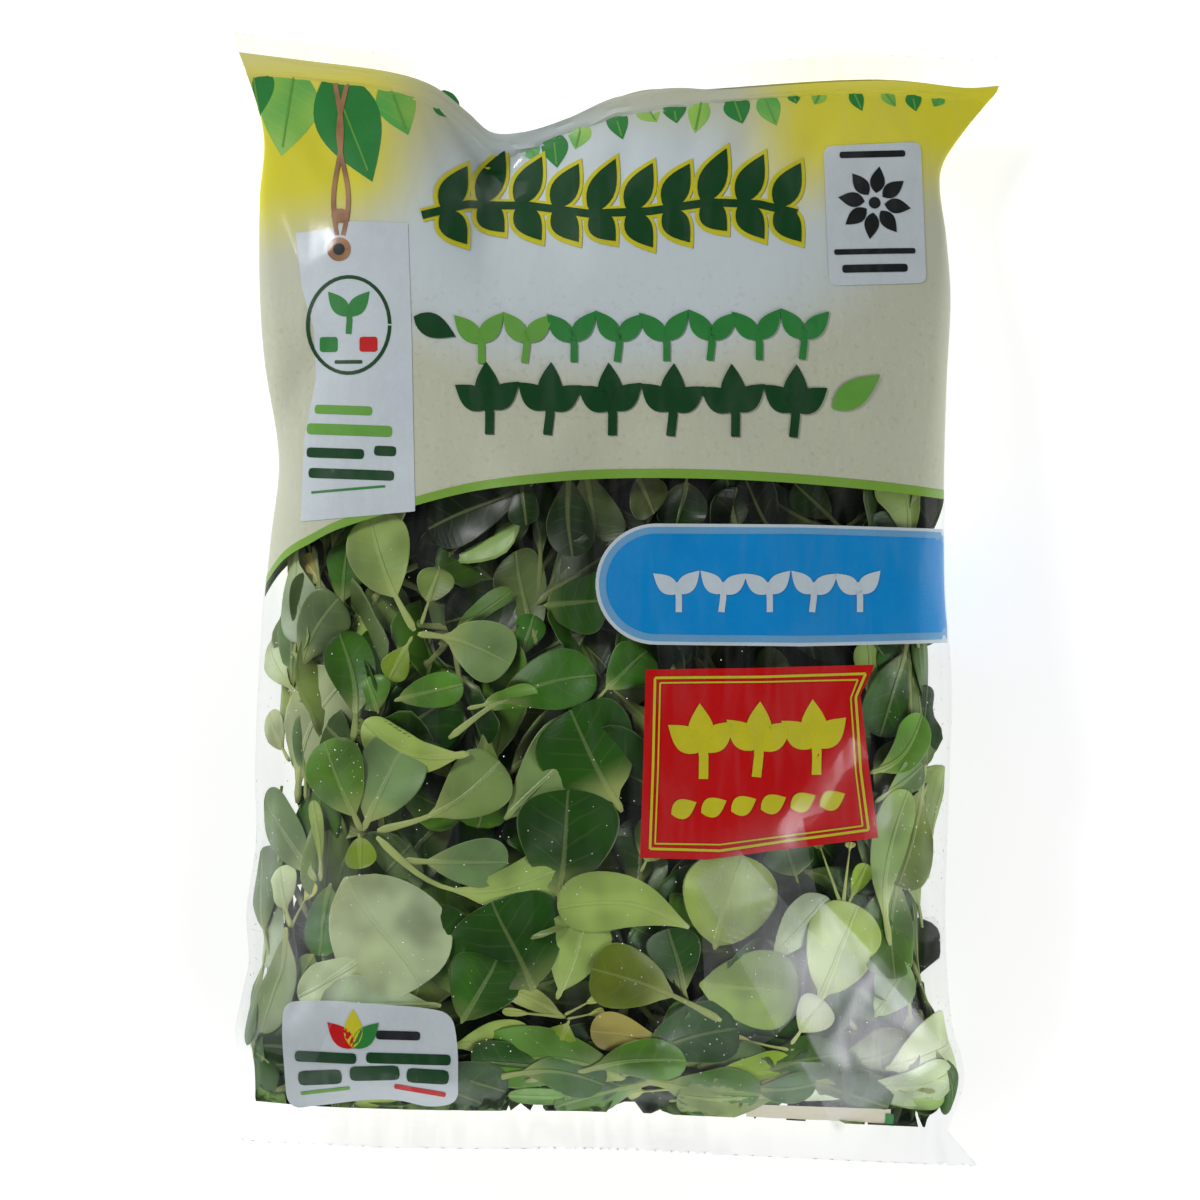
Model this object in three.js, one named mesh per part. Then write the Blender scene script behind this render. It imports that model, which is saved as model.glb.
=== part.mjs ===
// A sealed bag of salad leaves, lying on its back with the printed front up.
// It is one closed pillow of film: a full lower part that takes up the shape of the leaves,
// a flatter printed head, and a crimped flat seal across each end.
// X runs across the bag, +Y towards its head, +Z up from the table. Millimetres.
import * as THREE from "three";

const { clamp, lerp, smoothstep } = THREE.MathUtils;

// Sizes of the bag as it is filled
const LENGTH = 272; // from seal to seal
const FOOT_Y = -138; // where the foot's seal starts
const HEAD_SEAL = 10; // height of the crimped seal at the head
const FOOT_SEAL = 9; // height of the crimped seal at the foot
const SEAL_THICKNESS = 1;
const CRIMP_PITCH = 3.3; // one rib of the crimp
const CRIMP_DEPTH = 0.35;

// How square the cross-section is above and below its widest line
const FRONT_FULLNESS = 3;
const BACK_FULLNESS = 5;

// Relief of the film: leaves press out soft lumps below the print, and the head has slow waves
const LUMP_PITCH = 21; // one lump in each square of this size, off its middle
const LUMP_HEIGHTS = [1.1, 2.9];
const LUMP_RADII = [8, 13];
const PRINT_STARTS = 0.6; // share of the length above which the film is printed and smooth
const PRINT_SETTLES = 0.75;
const LUMPS_UNDER_PRINT = 0.15; // share of the lumps that still shows there
const HEAD_WAVE = 0.9;
const RELIEF_MARGIN = 0.06; // share of the length at each end where the relief dies out

// The back seam, a strip where the film's two long edges are welded and folded flat
const SEAM_WIDTH = 14;
const SEAM_GROOVE = 0.5;
const SEAM_GROOVE_WIDTH = 3;

// Steps of the mesh
const RING_STEPS = 64;
const BODY_STEPS = 66;
const SEAL_STEPS = 9;
const END_CROWDING = 0.08; // how much closer the rings lie near the seals

// Edges of the bag seen from above, as [share of the length, x]
const LEFT_EDGE = [
  [0, -96.5], [0.04, -98.3], [0.077, -100.7], [0.122, -98.8], [0.152, -97], [0.203, -97.5],
  [0.271, -95], [0.346, -95.2], [0.495, -93.3], [0.569, -91.4], [0.644, -89.4], [0.74, -93.3],
  [0.804, -94.6], [0.882, -94.6], [0.938, -93.5], [1, -98],
];
const RIGHT_EDGE = [
  [0, 88.5], [0.048, 92.8], [0.099, 89.3], [0.2, 87.7], [0.42, 89.3], [0.52, 87.6], [0.617, 87.7],
  [0.718, 88.5], [0.8, 89.6], [0.86, 88.5], [0.915, 86.8], [0.94, 89], [1, 101.5],
];

// Heights above the table, as [share of the length, z]: the crown of the front, the widest line
// and the lowest line of the back, which lies flat where this falls below the table
const CROWN = [
  [0, 15], [0.03, 29], [0.07, 38.5], [0.14, 46], [0.25, 51.5], [0.4, 53], [0.55, 50.5], [0.7, 44],
  [0.8, 37], [0.88, 29], [0.94, 20.5], [1, 12.5],
];
const WIDEST = [[0, 14.5], [0.05, 16], [0.15, 19], [0.4, 22], [0.7, 18], [0.85, 14.5], [1, 12]];
const BACK = [[0, 14], [0.03, 6], [0.07, 0.5], [0.14, -2.5], [0.8, -2.5], [0.9, 0.5], [0.96, 6], [1, 11.5]];

// How far each seal strays from a straight line, as [share of the half width, offset]
const HEAD_LINE = [
  [-1, 6.5], [-0.8, 3.4], [-0.6, 0.2], [-0.49, -3.5], [-0.4, -10.5], [-0.34, -15.6], [-0.26, -15],
  [-0.15, -10.5], [0, -5.9], [0.29, -2], [0.65, 0.2], [0.9, -0.7], [1, 0.4],
];
const FOOT_LINE = [[-1, 4], [-0.8, 2.5], [-0.4, 1.5], [0, 1], [0.45, -0.7], [0.75, -2.4], [1, -3.5]];
const HEAD_LIFT = [[-1, 3], [-0.6, 4], [-0.3, -4.5], [0.1, 1], [0.5, 3.5], [1, 0]];
const FOOT_LIFT = [[-1, -1], [-0.5, 2.5], [0, -2], [0.4, 2], [0.8, -3.5], [1, -4]];
const HEAD_REACH = 0.3; // share of the length over which the head seal's waves die out
const FOOT_REACH = 0.12;
const HEAD_FLARE = 3.8; // how much further out the seal's outer corners stand on each side
const FOOT_FLARE = 8;

// Folds in the front of the film: from and to in plan, depth (a ridge is negative) and half width
const FOLDS = [
  { from: [-43, 136], to: [-26, 106], depth: 4.5, width: 5 }, // the dent in the head seal
  { from: [-26, 108], to: [-8, 84], depth: 1.4, width: 7 },
  { from: [-92, 40], to: [-76, 72], depth: 3.4, width: 6 }, // the pinch in the left edge
  { from: [-94, 116], to: [-75, 92], depth: 2.6, width: 7 },
  { from: [90, 112], to: [72, 78], depth: 3, width: 7 },
  { from: [84, 76], to: [80, 30], depth: 1.6, width: 5 },
  { from: [90, -22], to: [66, -27], depth: 3.6, width: 6 }, // the pinch in the right edge
  { from: [68, -24], to: [39, -66], depth: -1.4, width: 5 },
  { from: [86, -66], to: [64, -112], depth: 2.4, width: 6 },
  { from: [-90, -78], to: [-70, -104], depth: 2.2, width: 6 },
];
const FOLD_START = 0.12; // share of its depth that a fold has at its first end
const PUCKERS = 9; // short pleats that run up from each seal
const PUCKER_SPREAD = 190;
const PUCKER_LENGTH = 22;
const PUCKER_DEPTH = 1.3;
const PUCKER_WIDTH = 4.5;

// A smooth curve through a list of [x, y], held level past its ends.
function through(points, x) {
  const last = points.length - 1;
  if (x <= points[0][0]) return points[0][1];
  if (x >= points[last][0]) return points[last][1];
  const slope = (i) => {
    const a = points[Math.max(i - 1, 0)];
    const b = points[Math.min(i + 1, last)];
    return (b[1] - a[1]) / (b[0] - a[0]);
  };
  const i = points.findIndex((p) => p[0] > x) - 1;
  const [x0, y0] = points[i];
  const [x1, y1] = points[i + 1];
  const run = x1 - x0;
  const s = (x - x0) / run;
  const straight = y0 + (y1 - y0) * s * s * (3 - 2 * s);
  return straight + run * s * (1 - s) * ((1 - s) * slope(i) - s * slope(i + 1));
}

// How far a point in plan lies inside a fold: 1 on its line, 0 well away from it.
function insideFold([x0, y0], [x1, y1], width, x, y) {
  const dx = x1 - x0;
  const dy = y1 - y0;
  const along = clamp(((x - x0) * dx + (y - y0) * dy) / (dx * dx + dy * dy), 0, 1);
  const off = Math.hypot(x - x0 - along * dx, y - y0 - along * dy) / width;
  return Math.exp(-off * off) * Math.sin(Math.PI * lerp(FOLD_START, 1, along));
}

// Pleats that fan out from a seal, whose line is at y = line, towards the middle of the bag.
function puckers(x, y, line, towards) {
  let sum = 0;
  for (let i = 0; i < PUCKERS; i++) {
    const foot = PUCKER_SPREAD * ((i + 0.5) / PUCKERS - 0.5) + 7 * Math.sin(5 * i);
    const reach = PUCKER_LENGTH * (1 + 0.5 * Math.sin(3 * i + 1));
    const tip = foot * 0.9 + 6 * Math.cos(4 * i);
    sum += insideFold([foot, line], [tip, line + towards * reach], PUCKER_WIDTH, x, y);
  }
  return PUCKER_DEPTH * sum;
}

// A number from 0 to 1 that looks random, the same each time for the same cell and use.
function scatter(i, j, use) {
  const value = 43758.5453 * Math.sin(127.1 * i + 311.7 * j + 74.7 * use);
  return value - Math.floor(value);
}

// Soft lumps where leaves press against the film.
function lumps(x, y) {
  let sum = 0;
  const [column, row] = [Math.floor(x / LUMP_PITCH), Math.floor(y / LUMP_PITCH)];
  for (let i = column - 2; i <= column + 2; i++)
    for (let j = row - 2; j <= row + 2; j++) {
      const dx = x - LUMP_PITCH * (i + scatter(i, j, 1));
      const dy = y - LUMP_PITCH * (j + scatter(i, j, 2));
      const radius = lerp(...LUMP_RADII, scatter(i, j, 3));
      const height = lerp(...LUMP_HEIGHTS, scatter(i, j, 4));
      sum += height * Math.exp(-(dx * dx + dy * dy) / (radius * radius));
    }
  return sum;
}

// Relief of the front at a point in plan, outwards, for a given share of the length.
function frontRelief(x, y, t) {
  const waves = Math.sin(0.045 * x + 0.02 * y + 1) * Math.cos(0.05 * y - 0.02 * x);
  const printed = smoothstep(t, PRINT_STARTS, PRINT_SETTLES);
  const pleats = puckers(x, y, FOOT_Y, 1) + puckers(x, y, FOOT_Y + LENGTH, -1);
  return lumps(x, y) * lerp(1, LUMPS_UNDER_PRINT, printed) + HEAD_WAVE * waves * printed - pleats;
}

// Depth of all the folds of the front at a point in plan.
const folds = (x, y) =>
  FOLDS.reduce((sum, f) => sum + f.depth * insideFold(f.from, f.to, f.width, x, y), 0);

// Two grooves along the back, one on each side of the welded strip.
const seamGrooves = (x) =>
  SEAM_GROOVE * Math.exp(-(((Math.abs(x) - SEAM_WIDTH / 2) / SEAM_GROOVE_WIDTH) ** 2));

// A point of the skin: t is the share of the length, past 0 and 1 in the seals, and angle goes
// round the section from the right edge over the front to the left edge and back underneath.
function skin(t, angle) {
  const c = Math.cos(angle);
  const isFront = Math.sin(angle) >= 0;
  const body = clamp(t, 0, 1);
  const intoSeal = LENGTH * (t < 0 ? -t : t - body);
  const flare = t < 0 ? (FOOT_FLARE * intoSeal) / FOOT_SEAL : (HEAD_FLARE * intoSeal) / HEAD_SEAL;
  const left = through(LEFT_EDGE, body) - flare;
  const right = through(RIGHT_EDGE, body) + flare;
  const x = lerp(left, right, (1 + c) / 2);

  const nearHead = smoothstep(t, 1 - HEAD_REACH, 1);
  const nearFoot = 1 - smoothstep(t, 0, FOOT_REACH);
  const y = FOOT_Y + t * LENGTH + nearHead * through(HEAD_LINE, c) + nearFoot * through(FOOT_LINE, c);

  const lift = nearHead ** 3 * through(HEAD_LIFT, c) + nearFoot ** 3 * through(FOOT_LIFT, c);
  const middle = through(WIDEST, body) + lift;
  const halfSeal = (SEAL_THICKNESS / 2) * Math.min(1, 6 * (1 - Math.abs(c)) + 0.2);
  if (intoSeal > 0) {
    const rib = CRIMP_DEPTH * Math.sin((2 * Math.PI * intoSeal) / CRIMP_PITCH);
    return new THREE.Vector3(x, y, middle + rib + (isFront ? halfSeal : -halfSeal));
  }

  const awayFromSeals =
    smoothstep(body, 0, RELIEF_MARGIN) * (1 - smoothstep(body, 1 - RELIEF_MARGIN, 1));
  const fullness = isFront ? FRONT_FULLNESS : BACK_FULLNESS;
  const bow = Math.sqrt(Math.max(0, 1 - Math.abs(c) ** fullness));
  if (isFront) {
    const crown = middle + (through(CROWN, body) + lift - middle) * bow;
    const z = crown + bow * (frontRelief(x, y, body) * awayFromSeals - folds(x, y));
    return new THREE.Vector3(x, y, Math.max(z, middle + halfSeal));
  }
  const back = middle + (through(BACK, body) + lift - middle) * bow;
  const z = Math.max(back, 0) + seamGrooves(x) * awayFromSeals;
  return new THREE.Vector3(x, y, Math.min(z, middle - halfSeal));
}

// Shares of the length at which the rings lie.
function ringShares() {
  const shares = [];
  for (let i = 0; i < SEAL_STEPS; i++) shares.push((-FOOT_SEAL / LENGTH) * (1 - i / SEAL_STEPS));
  for (let i = 0; i <= BODY_STEPS; i++) {
    const even = i / BODY_STEPS;
    shares.push(even - END_CROWDING * Math.sin(2 * Math.PI * even));
  }
  for (let i = 1; i <= SEAL_STEPS; i++) shares.push(1 + (HEAD_SEAL / LENGTH) * (i / SEAL_STEPS));
  return shares;
}

// The whole skin as one closed surface: rings joined in turn, and each end closed between its
// front and back edges.
function bagGeometry() {
  const shares = ringShares();
  const positions = shares.flatMap((t) =>
    Array.from({ length: RING_STEPS }, (_, j) => skin(t, (2 * Math.PI * j) / RING_STEPS).toArray()).flat(),
  );
  const at = (i, j) => i * RING_STEPS + ((j + RING_STEPS) % RING_STEPS);
  const faces = [];
  for (let i = 0; i + 1 < shares.length; i++)
    for (let j = 0; j < RING_STEPS; j++) {
      faces.push(at(i, j), at(i + 1, j), at(i + 1, j + 1));
      faces.push(at(i, j), at(i + 1, j + 1), at(i, j + 1));
    }
  const half = RING_STEPS / 2;
  const closeEnd = (i, isHead) => {
    const add = (a, b, c) => (isHead ? faces.push(a, c, b) : faces.push(a, b, c));
    add(at(i, 0), at(i, 1), at(i, -1));
    for (let j = 1; j + 1 < half; j++) {
      add(at(i, j), at(i, j + 1), at(i, -j - 1));
      add(at(i, j), at(i, -j - 1), at(i, -j));
    }
    add(at(i, half - 1), at(i, half), at(i, half + 1));
  };
  closeEnd(0, false);
  closeEnd(shares.length - 1, true);
  const geometry = new THREE.BufferGeometry();
  geometry.setAttribute("position", new THREE.Float32BufferAttribute(positions, 3));
  geometry.setIndex(faces);
  return geometry;
}

// Moves the geometry so that its origin is the middle of its box, on the table.
function standOnTable(geometry) {
  geometry.computeBoundingBox();
  const { min, max } = geometry.boundingBox;
  return geometry.translate(-(min.x + max.x) / 2, -(min.y + max.y) / 2, -min.z);
}

const film = new THREE.MeshStandardMaterial({ color: 0x6f8f57, roughness: 0.25, metalness: 0 });
const bag = new THREE.Mesh(standOnTable(bagGeometry()), film);
bag.name = "bag";

const salad = new THREE.Group();
salad.add(bag);
export default salad;
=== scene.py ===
"""A sealed bag of lamb's lettuce, lying on its back: thin clear film, the print on the inside of the
film, and the loose leaves that fill it. Sizes are in millimetres until a mesh is made."""

import math
import random

import bpy
import numpy as np
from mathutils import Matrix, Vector
from mathutils.geometry import delaunay_2d_cdt


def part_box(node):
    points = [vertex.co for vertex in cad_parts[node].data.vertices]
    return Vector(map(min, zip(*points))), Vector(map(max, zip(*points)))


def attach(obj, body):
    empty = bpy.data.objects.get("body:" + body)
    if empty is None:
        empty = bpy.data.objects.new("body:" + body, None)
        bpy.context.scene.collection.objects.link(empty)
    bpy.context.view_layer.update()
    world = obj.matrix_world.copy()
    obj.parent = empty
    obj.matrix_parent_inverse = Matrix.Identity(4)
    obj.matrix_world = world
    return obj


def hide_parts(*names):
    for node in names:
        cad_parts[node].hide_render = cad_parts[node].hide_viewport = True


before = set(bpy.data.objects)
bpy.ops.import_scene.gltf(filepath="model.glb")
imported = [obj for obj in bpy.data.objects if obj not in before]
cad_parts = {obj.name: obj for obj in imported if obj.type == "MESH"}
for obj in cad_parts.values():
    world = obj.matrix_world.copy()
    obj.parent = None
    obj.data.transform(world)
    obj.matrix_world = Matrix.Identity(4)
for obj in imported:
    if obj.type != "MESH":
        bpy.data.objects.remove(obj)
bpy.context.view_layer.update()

# ---------------------------------------------------------------- the form of the bag

LENGTH = 272  # from seal to seal
FOOT_Y = -138  # where the foot's seal starts
HEAD_SEAL, FOOT_SEAL = 10, 9
SEAL_THICKNESS = 0.35
CRIMP_PITCH, CRIMP_DEPTH = 3.3, 0.3
FRONT_FULLNESS, BACK_FULLNESS = 3, 5
LUMP_PITCH = 21
LUMP_HEIGHTS, LUMP_RADII = (1.1, 2.9), (8, 13)
PRINT_STARTS, PRINT_SETTLES = 0.6, 0.75
LUMPS_UNDER_PRINT = 0.15
HEAD_WAVE = 0.9
RELIEF_MARGIN = 0.06
SEAM_WIDTH, SEAM_GROOVE, SEAM_GROOVE_WIDTH = 14, 0.5, 3

LEFT_EDGE = [
    (0, -96.5), (0.04, -98.3), (0.077, -100.7), (0.122, -98.8), (0.152, -97), (0.203, -97.5),
    (0.271, -95), (0.346, -95.2), (0.495, -93.3), (0.569, -91.4), (0.644, -89.4), (0.74, -93.3),
    (0.804, -94.6), (0.882, -94.6), (0.938, -93.5), (1, -98),
]
RIGHT_EDGE = [
    (0, 88.5), (0.048, 92.8), (0.099, 89.3), (0.2, 87.7), (0.42, 89.3), (0.52, 87.6), (0.617, 87.7),
    (0.718, 88.5), (0.8, 89.6), (0.86, 88.5), (0.915, 86.8), (0.94, 89), (1, 101.5),
]
CROWN = [
    (0, 15), (0.03, 29), (0.07, 38.5), (0.14, 46), (0.25, 51.5), (0.4, 53), (0.55, 50.5), (0.7, 44),
    (0.8, 37), (0.88, 29), (0.94, 20.5), (1, 12.5),
]
WIDEST = [(0, 14.5), (0.05, 16), (0.15, 19), (0.4, 22), (0.7, 18), (0.85, 14.5), (1, 12)]
BACK = [(0, 14), (0.03, 6), (0.07, 0.5), (0.14, -2.5), (0.8, -2.5), (0.9, 0.5), (0.96, 6), (1, 11.5)]
HEAD_LINE = [
    (-1, 6.5), (-0.8, 3.4), (-0.6, 0.2), (-0.49, -3.5), (-0.4, -10.5), (-0.34, -15.6), (-0.26, -15),
    (-0.15, -10.5), (0, -5.9), (0.29, -2), (0.65, 0.2), (0.9, -0.7), (1, 0.4),
]
FOOT_LINE = [(-1, 4), (-0.8, 2.5), (-0.4, 1.5), (0, 1), (0.45, -0.7), (0.75, -2.4), (1, -3.5)]
HEAD_LIFT = [(-1, 3), (-0.6, 4), (-0.3, -4.5), (0.1, 1), (0.5, 3.5), (1, 0)]
FOOT_LIFT = [(-1, -1), (-0.5, 2.5), (0, -2), (0.4, 2), (0.8, -3.5), (1, -4)]
HEAD_REACH, FOOT_REACH = 0.3, 0.12
HEAD_FLARE, FOOT_FLARE = 3.8, 8

# Folds in the front: from and to in plan, depth (a ridge is negative) and half width
FOLDS = [
    ((-43, 136), (-26, 106), 4.5, 5), ((-26, 108), (-8, 84), 1.4, 7), ((-92, 40), (-76, 72), 3.4, 6),
    ((-94, 116), (-75, 92), 2.6, 7), ((90, 112), (72, 78), 3, 7), ((84, 76), (80, 30), 1.6, 5),
    ((90, -22), (66, -27), 3.6, 6), ((68, -24), (39, -66), -1.4, 5), ((86, -66), (64, -112), 2.4, 6),
    ((-90, -78), (-70, -104), 2.2, 6),
]
PUCKERS, PUCKER_SPREAD, PUCKER_LENGTH, PUCKER_DEPTH, PUCKER_WIDTH = 9, 190, 22, 1.3, 4.5

# Sharper creases that only the film itself has, in the same form
CREASES = [
    ((-35, 122), (-19, 96), -0.5, 1.6), ((-52, 132), (-42, 112), 0.5, 1.8), ((72, 128), (88, 104), -0.6, 2),
    ((92, 116), (84, 88), 0.6, 1.8), ((-90, 108), (-84, 60), 0.5, 1.8), ((69, -16), (40, -63), -0.6, 1.8),
    ((46, -60), (74, -118), 0.6, 2.2), ((30, -82), (60, -74), 0.5, 1.8), ((84, -70), (52, -124), -0.6, 2),
    ((-88, -30), (-84, -70), 0.6, 1.8), ((-80, -86), (-58, -76), -0.5, 1.8), ((-86, -112), (-76, -92), 0.6, 2),
    ((78, 30), (84, 4), 0.45, 1.6), ((-30, -70), (-2, -62), 0.3, 1.6), ((60, -100), (88, -122), 0.6, 2),
    ((20, -134), (12, -118), 0.6, 2), ((-48, -134), (-56, -120), 0.6, 2), ((66, -134), (60, -116), 0.6, 2),
]


def through(points, x):
    """A smooth curve through a list of points, held level past its ends."""
    px, py = np.array(points, float).T
    slope = np.empty_like(py)
    slope[1:-1] = (py[2:] - py[:-2]) / (px[2:] - px[:-2])
    slope[0] = (py[1] - py[0]) / (px[1] - px[0])
    slope[-1] = (py[-1] - py[-2]) / (px[-1] - px[-2])
    x = np.clip(x, px[0], px[-1])
    i = np.clip(np.searchsorted(px, x, side="right") - 1, 0, len(px) - 2)
    run = px[i + 1] - px[i]
    s = (x - px[i]) / run
    straight = py[i] + (py[i + 1] - py[i]) * s * s * (3 - 2 * s)
    return straight + run * s * (1 - s) * ((1 - s) * slope[i] - s * slope[i + 1])


def ease(x, low, high):
    """0 before low, 1 after high, with a smooth step between."""
    s = np.clip((x - low) / (high - low), 0, 1)
    return s * s * (3 - 2 * s)


def inside_fold(start, end, width, x, y):
    (x0, y0), (x1, y1) = start, end
    dx, dy = x1 - x0, y1 - y0
    along = np.clip(((x - x0) * dx + (y - y0) * dy) / (dx * dx + dy * dy), 0, 1)
    off = np.hypot(x - x0 - along * dx, y - y0 - along * dy) / width
    return np.exp(-off * off) * np.sin(np.pi * (0.12 + 0.88 * along))


def puckers(x, y, line, towards):
    total = 0
    for i in range(PUCKERS):
        foot = PUCKER_SPREAD * ((i + 0.5) / PUCKERS - 0.5) + 7 * math.sin(5 * i)
        reach = PUCKER_LENGTH * (1 + 0.5 * math.sin(3 * i + 1))
        tip = foot * 0.9 + 6 * math.cos(4 * i)
        total = total + inside_fold((foot, line), (tip, line + towards * reach), PUCKER_WIDTH, x, y)
    return PUCKER_DEPTH * total


def scatter(i, j, use):
    value = 43758.5453 * np.sin(127.1 * i + 311.7 * j + 74.7 * use)
    return value - np.floor(value)


def lumps(x, y):
    """Soft lumps where leaves press against the film."""
    total = 0
    column, row = np.floor(x / LUMP_PITCH), np.floor(y / LUMP_PITCH)
    for i in range(-2, 3):
        for j in range(-2, 3):
            a, b = column + i, row + j
            dx = x - LUMP_PITCH * (a + scatter(a, b, 1))
            dy = y - LUMP_PITCH * (b + scatter(a, b, 2))
            radius = LUMP_RADII[0] + (LUMP_RADII[1] - LUMP_RADII[0]) * scatter(a, b, 3)
            height = LUMP_HEIGHTS[0] + (LUMP_HEIGHTS[1] - LUMP_HEIGHTS[0]) * scatter(a, b, 4)
            total = total + height * np.exp(-(dx * dx + dy * dy) / (radius * radius))
    return total


def plan(t, c):
    """Where a point of the skin lies in plan: t is the share of the length, c of the half width."""
    body = np.clip(t, 0, 1)
    into = LENGTH * np.where(t < 0, -t, t - body)
    flare = np.where(t < 0, FOOT_FLARE / FOOT_SEAL, HEAD_FLARE / HEAD_SEAL) * into
    left, right = through(LEFT_EDGE, body) - flare, through(RIGHT_EDGE, body) + flare
    near_head, near_foot = ease(t, 1 - HEAD_REACH, 1), 1 - ease(t, 0, FOOT_REACH)
    x = left + (right - left) * (1 + c) / 2
    y = FOOT_Y + t * LENGTH + near_head * through(HEAD_LINE, c) + near_foot * through(FOOT_LINE, c)
    return x, y, into, near_head, near_foot


def skin(t, angle, creased=True):
    """Points of the film: angle goes round the section from the right edge over the front."""
    t, angle = np.broadcast_arrays(np.asarray(t, float), np.asarray(angle, float))
    c = np.cos(angle)
    is_front = np.sin(angle) >= -1e-9
    x, y, into, near_head, near_foot = plan(t, c)
    body = np.clip(t, 0, 1)
    lift = near_head**3 * through(HEAD_LIFT, c) + near_foot**3 * through(FOOT_LIFT, c)
    middle = through(WIDEST, body) + lift
    half_seal = SEAL_THICKNESS / 2 * np.minimum(1, 6 * (1 - np.abs(c)) + 0.2)
    rib = CRIMP_DEPTH * np.sin(2 * np.pi * into / CRIMP_PITCH)
    away = ease(body, 0, RELIEF_MARGIN) * (1 - ease(body, 1 - RELIEF_MARGIN, 1))

    waves = np.sin(0.045 * x + 0.02 * y + 1) * np.cos(0.05 * y - 0.02 * x)
    printed = ease(body, PRINT_STARTS, PRINT_SETTLES)
    pleats = puckers(x, y, FOOT_Y, 1) + puckers(x, y, FOOT_Y + LENGTH, -1)
    relief = lumps(x, y) * (1 - (1 - LUMPS_UNDER_PRINT) * printed) + HEAD_WAVE * waves * printed - pleats
    folds = sum(depth * inside_fold(a, b, width, x, y) for a, b, depth, width in FOLDS)
    if creased:
        folds = folds + sum(depth * inside_fold(a, b, width, x, y) for a, b, depth, width in CREASES)
    front_bow = np.sqrt(np.maximum(0, 1 - np.abs(c) ** FRONT_FULLNESS))
    front = middle + (through(CROWN, body) + lift - middle) * front_bow
    front = np.maximum(front + front_bow * (relief * away - folds), middle + half_seal)

    back_bow = np.sqrt(np.maximum(0, 1 - np.abs(c) ** BACK_FULLNESS))
    groove = SEAM_GROOVE * np.exp(-(((np.abs(x) - SEAM_WIDTH / 2) / SEAM_GROOVE_WIDTH) ** 2))
    back = np.maximum(middle + (through(BACK, body) + lift - middle) * back_bow, 0) + groove * away
    back = np.minimum(back, middle - half_seal)

    in_seal = middle + rib + np.where(is_front, half_seal, -half_seal)
    z = np.where(into > 0, in_seal, np.where(is_front, front, back))
    return np.stack([x, y, z], axis=-1)


# Distance round the bag, measured on its section at a third of its length. Across is 0 along the
# crown, positive to the right, and carries on round the sides to the back.
ROUND_ANGLES = np.linspace(-np.pi, 2 * np.pi, 3000)
ROUND_POINTS = skin(0.35, ROUND_ANGLES, creased=False)
ROUND_LENGTHS = np.concatenate([[0], np.cumsum(np.linalg.norm(np.diff(ROUND_POINTS, axis=0), axis=1))])
ROUND_LENGTHS -= np.interp(np.pi / 2, ROUND_ANGLES, ROUND_LENGTHS)
ACROSS_RIGHT, ACROSS_LEFT = (-np.interp(a, ROUND_ANGLES, ROUND_LENGTHS) for a in (0, np.pi))
GIRTH = (ROUND_LENGTHS[-1] - ROUND_LENGTHS[0]) * 2 / 3


def angle_of(across):
    return np.interp(-np.asarray(across, float), ROUND_LENGTHS, ROUND_ANGLES)


def across_of(angle):
    return -np.interp(angle, ROUND_ANGLES, ROUND_LENGTHS)


def share_at(y, c):
    """The share of the length at which a line of the skin, at c of its half width, crosses y."""
    y, c = np.broadcast_arrays(np.asarray(y, float), np.asarray(c, float))
    t = (y - FOOT_Y) / LENGTH
    for _ in range(10):
        t = t + (y - plan(t, c)[1]) / LENGTH
    return t


def between(table, spot):
    """Reads a table between its places; spot is counted in its steps."""
    spot = np.clip(spot, 0, np.array(table.shape[:2]) - 1.001)
    i, j = np.moveaxis(spot.astype(int), -1, 0)
    a, b = np.moveaxis(spot - spot.astype(int), -1, 0)[..., None]
    low = table[i, j] * (1 - a) + table[i + 1, j] * a
    high = table[i, j + 1] * (1 - a) + table[i + 1, j + 1] * a
    return low * (1 - b) + high * b


PLAN_START, PLAN_END = -160, 160


def make_plan_table():
    """For each place seen from above: the share of the length and of the half width, and both edges."""
    side = np.arange(PLAN_START, PLAN_END + 1.0)
    x, y = np.meshgrid(side, side, indexing="ij")
    c = np.zeros_like(x)
    for _ in range(8):
        t = share_at(y, np.clip(c, -1, 1))
        left, right = plan(t, np.full_like(c, -1.0))[0], plan(t, np.full_like(c, 1.0))[0]
        c = (2 * x - left - right) / (right - left)
    return np.stack([t, c, left, right], axis=-1)


PLAN_TABLE = make_plan_table()


def read_plan(x, y):
    spot = np.stack([np.asarray(x, float), np.asarray(y, float)], axis=-1) - PLAN_START
    t, c, left, right = np.moveaxis(between(PLAN_TABLE, spot), -1, 0)
    return t, np.clip(c, -1, 1), left, right


def across_at(x, y):
    """How far round a point lies that is seen from above at x, y. Past an edge it goes underneath."""
    t, c, left, right = read_plan(x, y)
    return across_of(np.arccos(c)) + np.maximum(x - right, 0) + np.minimum(x - left, 0)


# A table of the film's inside: its points and outward directions, over across and y
TABLE_STEP = 0.5
TABLE_START = np.array([-GIRTH / 2 - 1, -150.0])
TABLE_ENDS = np.array([GIRTH / 2 + 2, 152.0])


def make_table():
    across = np.arange(TABLE_START[0], TABLE_ENDS[0], TABLE_STEP)
    y = np.arange(TABLE_START[1], TABLE_ENDS[1], TABLE_STEP)
    angles = angle_of(across)[:, None]
    points = skin(share_at(y[None, :], np.cos(angles)), angles)
    out = np.cross(np.gradient(points, axis=1), -np.gradient(points, axis=0))
    out /= np.maximum(np.linalg.norm(out, axis=-1, keepdims=True), 1e-9)
    return np.concatenate([points, out], axis=-1)


FILM_TABLE = make_table()


def lay(across, y, depth):
    """Puts points on the film: across and y as above, depth in millimetres inside it."""
    across = (np.asarray(across, float) + GIRTH / 2) % GIRTH - GIRTH / 2
    spot = (np.stack([across, np.asarray(y, float)], axis=-1) - TABLE_START) / TABLE_STEP
    found = between(FILM_TABLE, spot)
    return found[..., :3] - found[..., 3:] * np.asarray(depth)[..., None]


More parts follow.
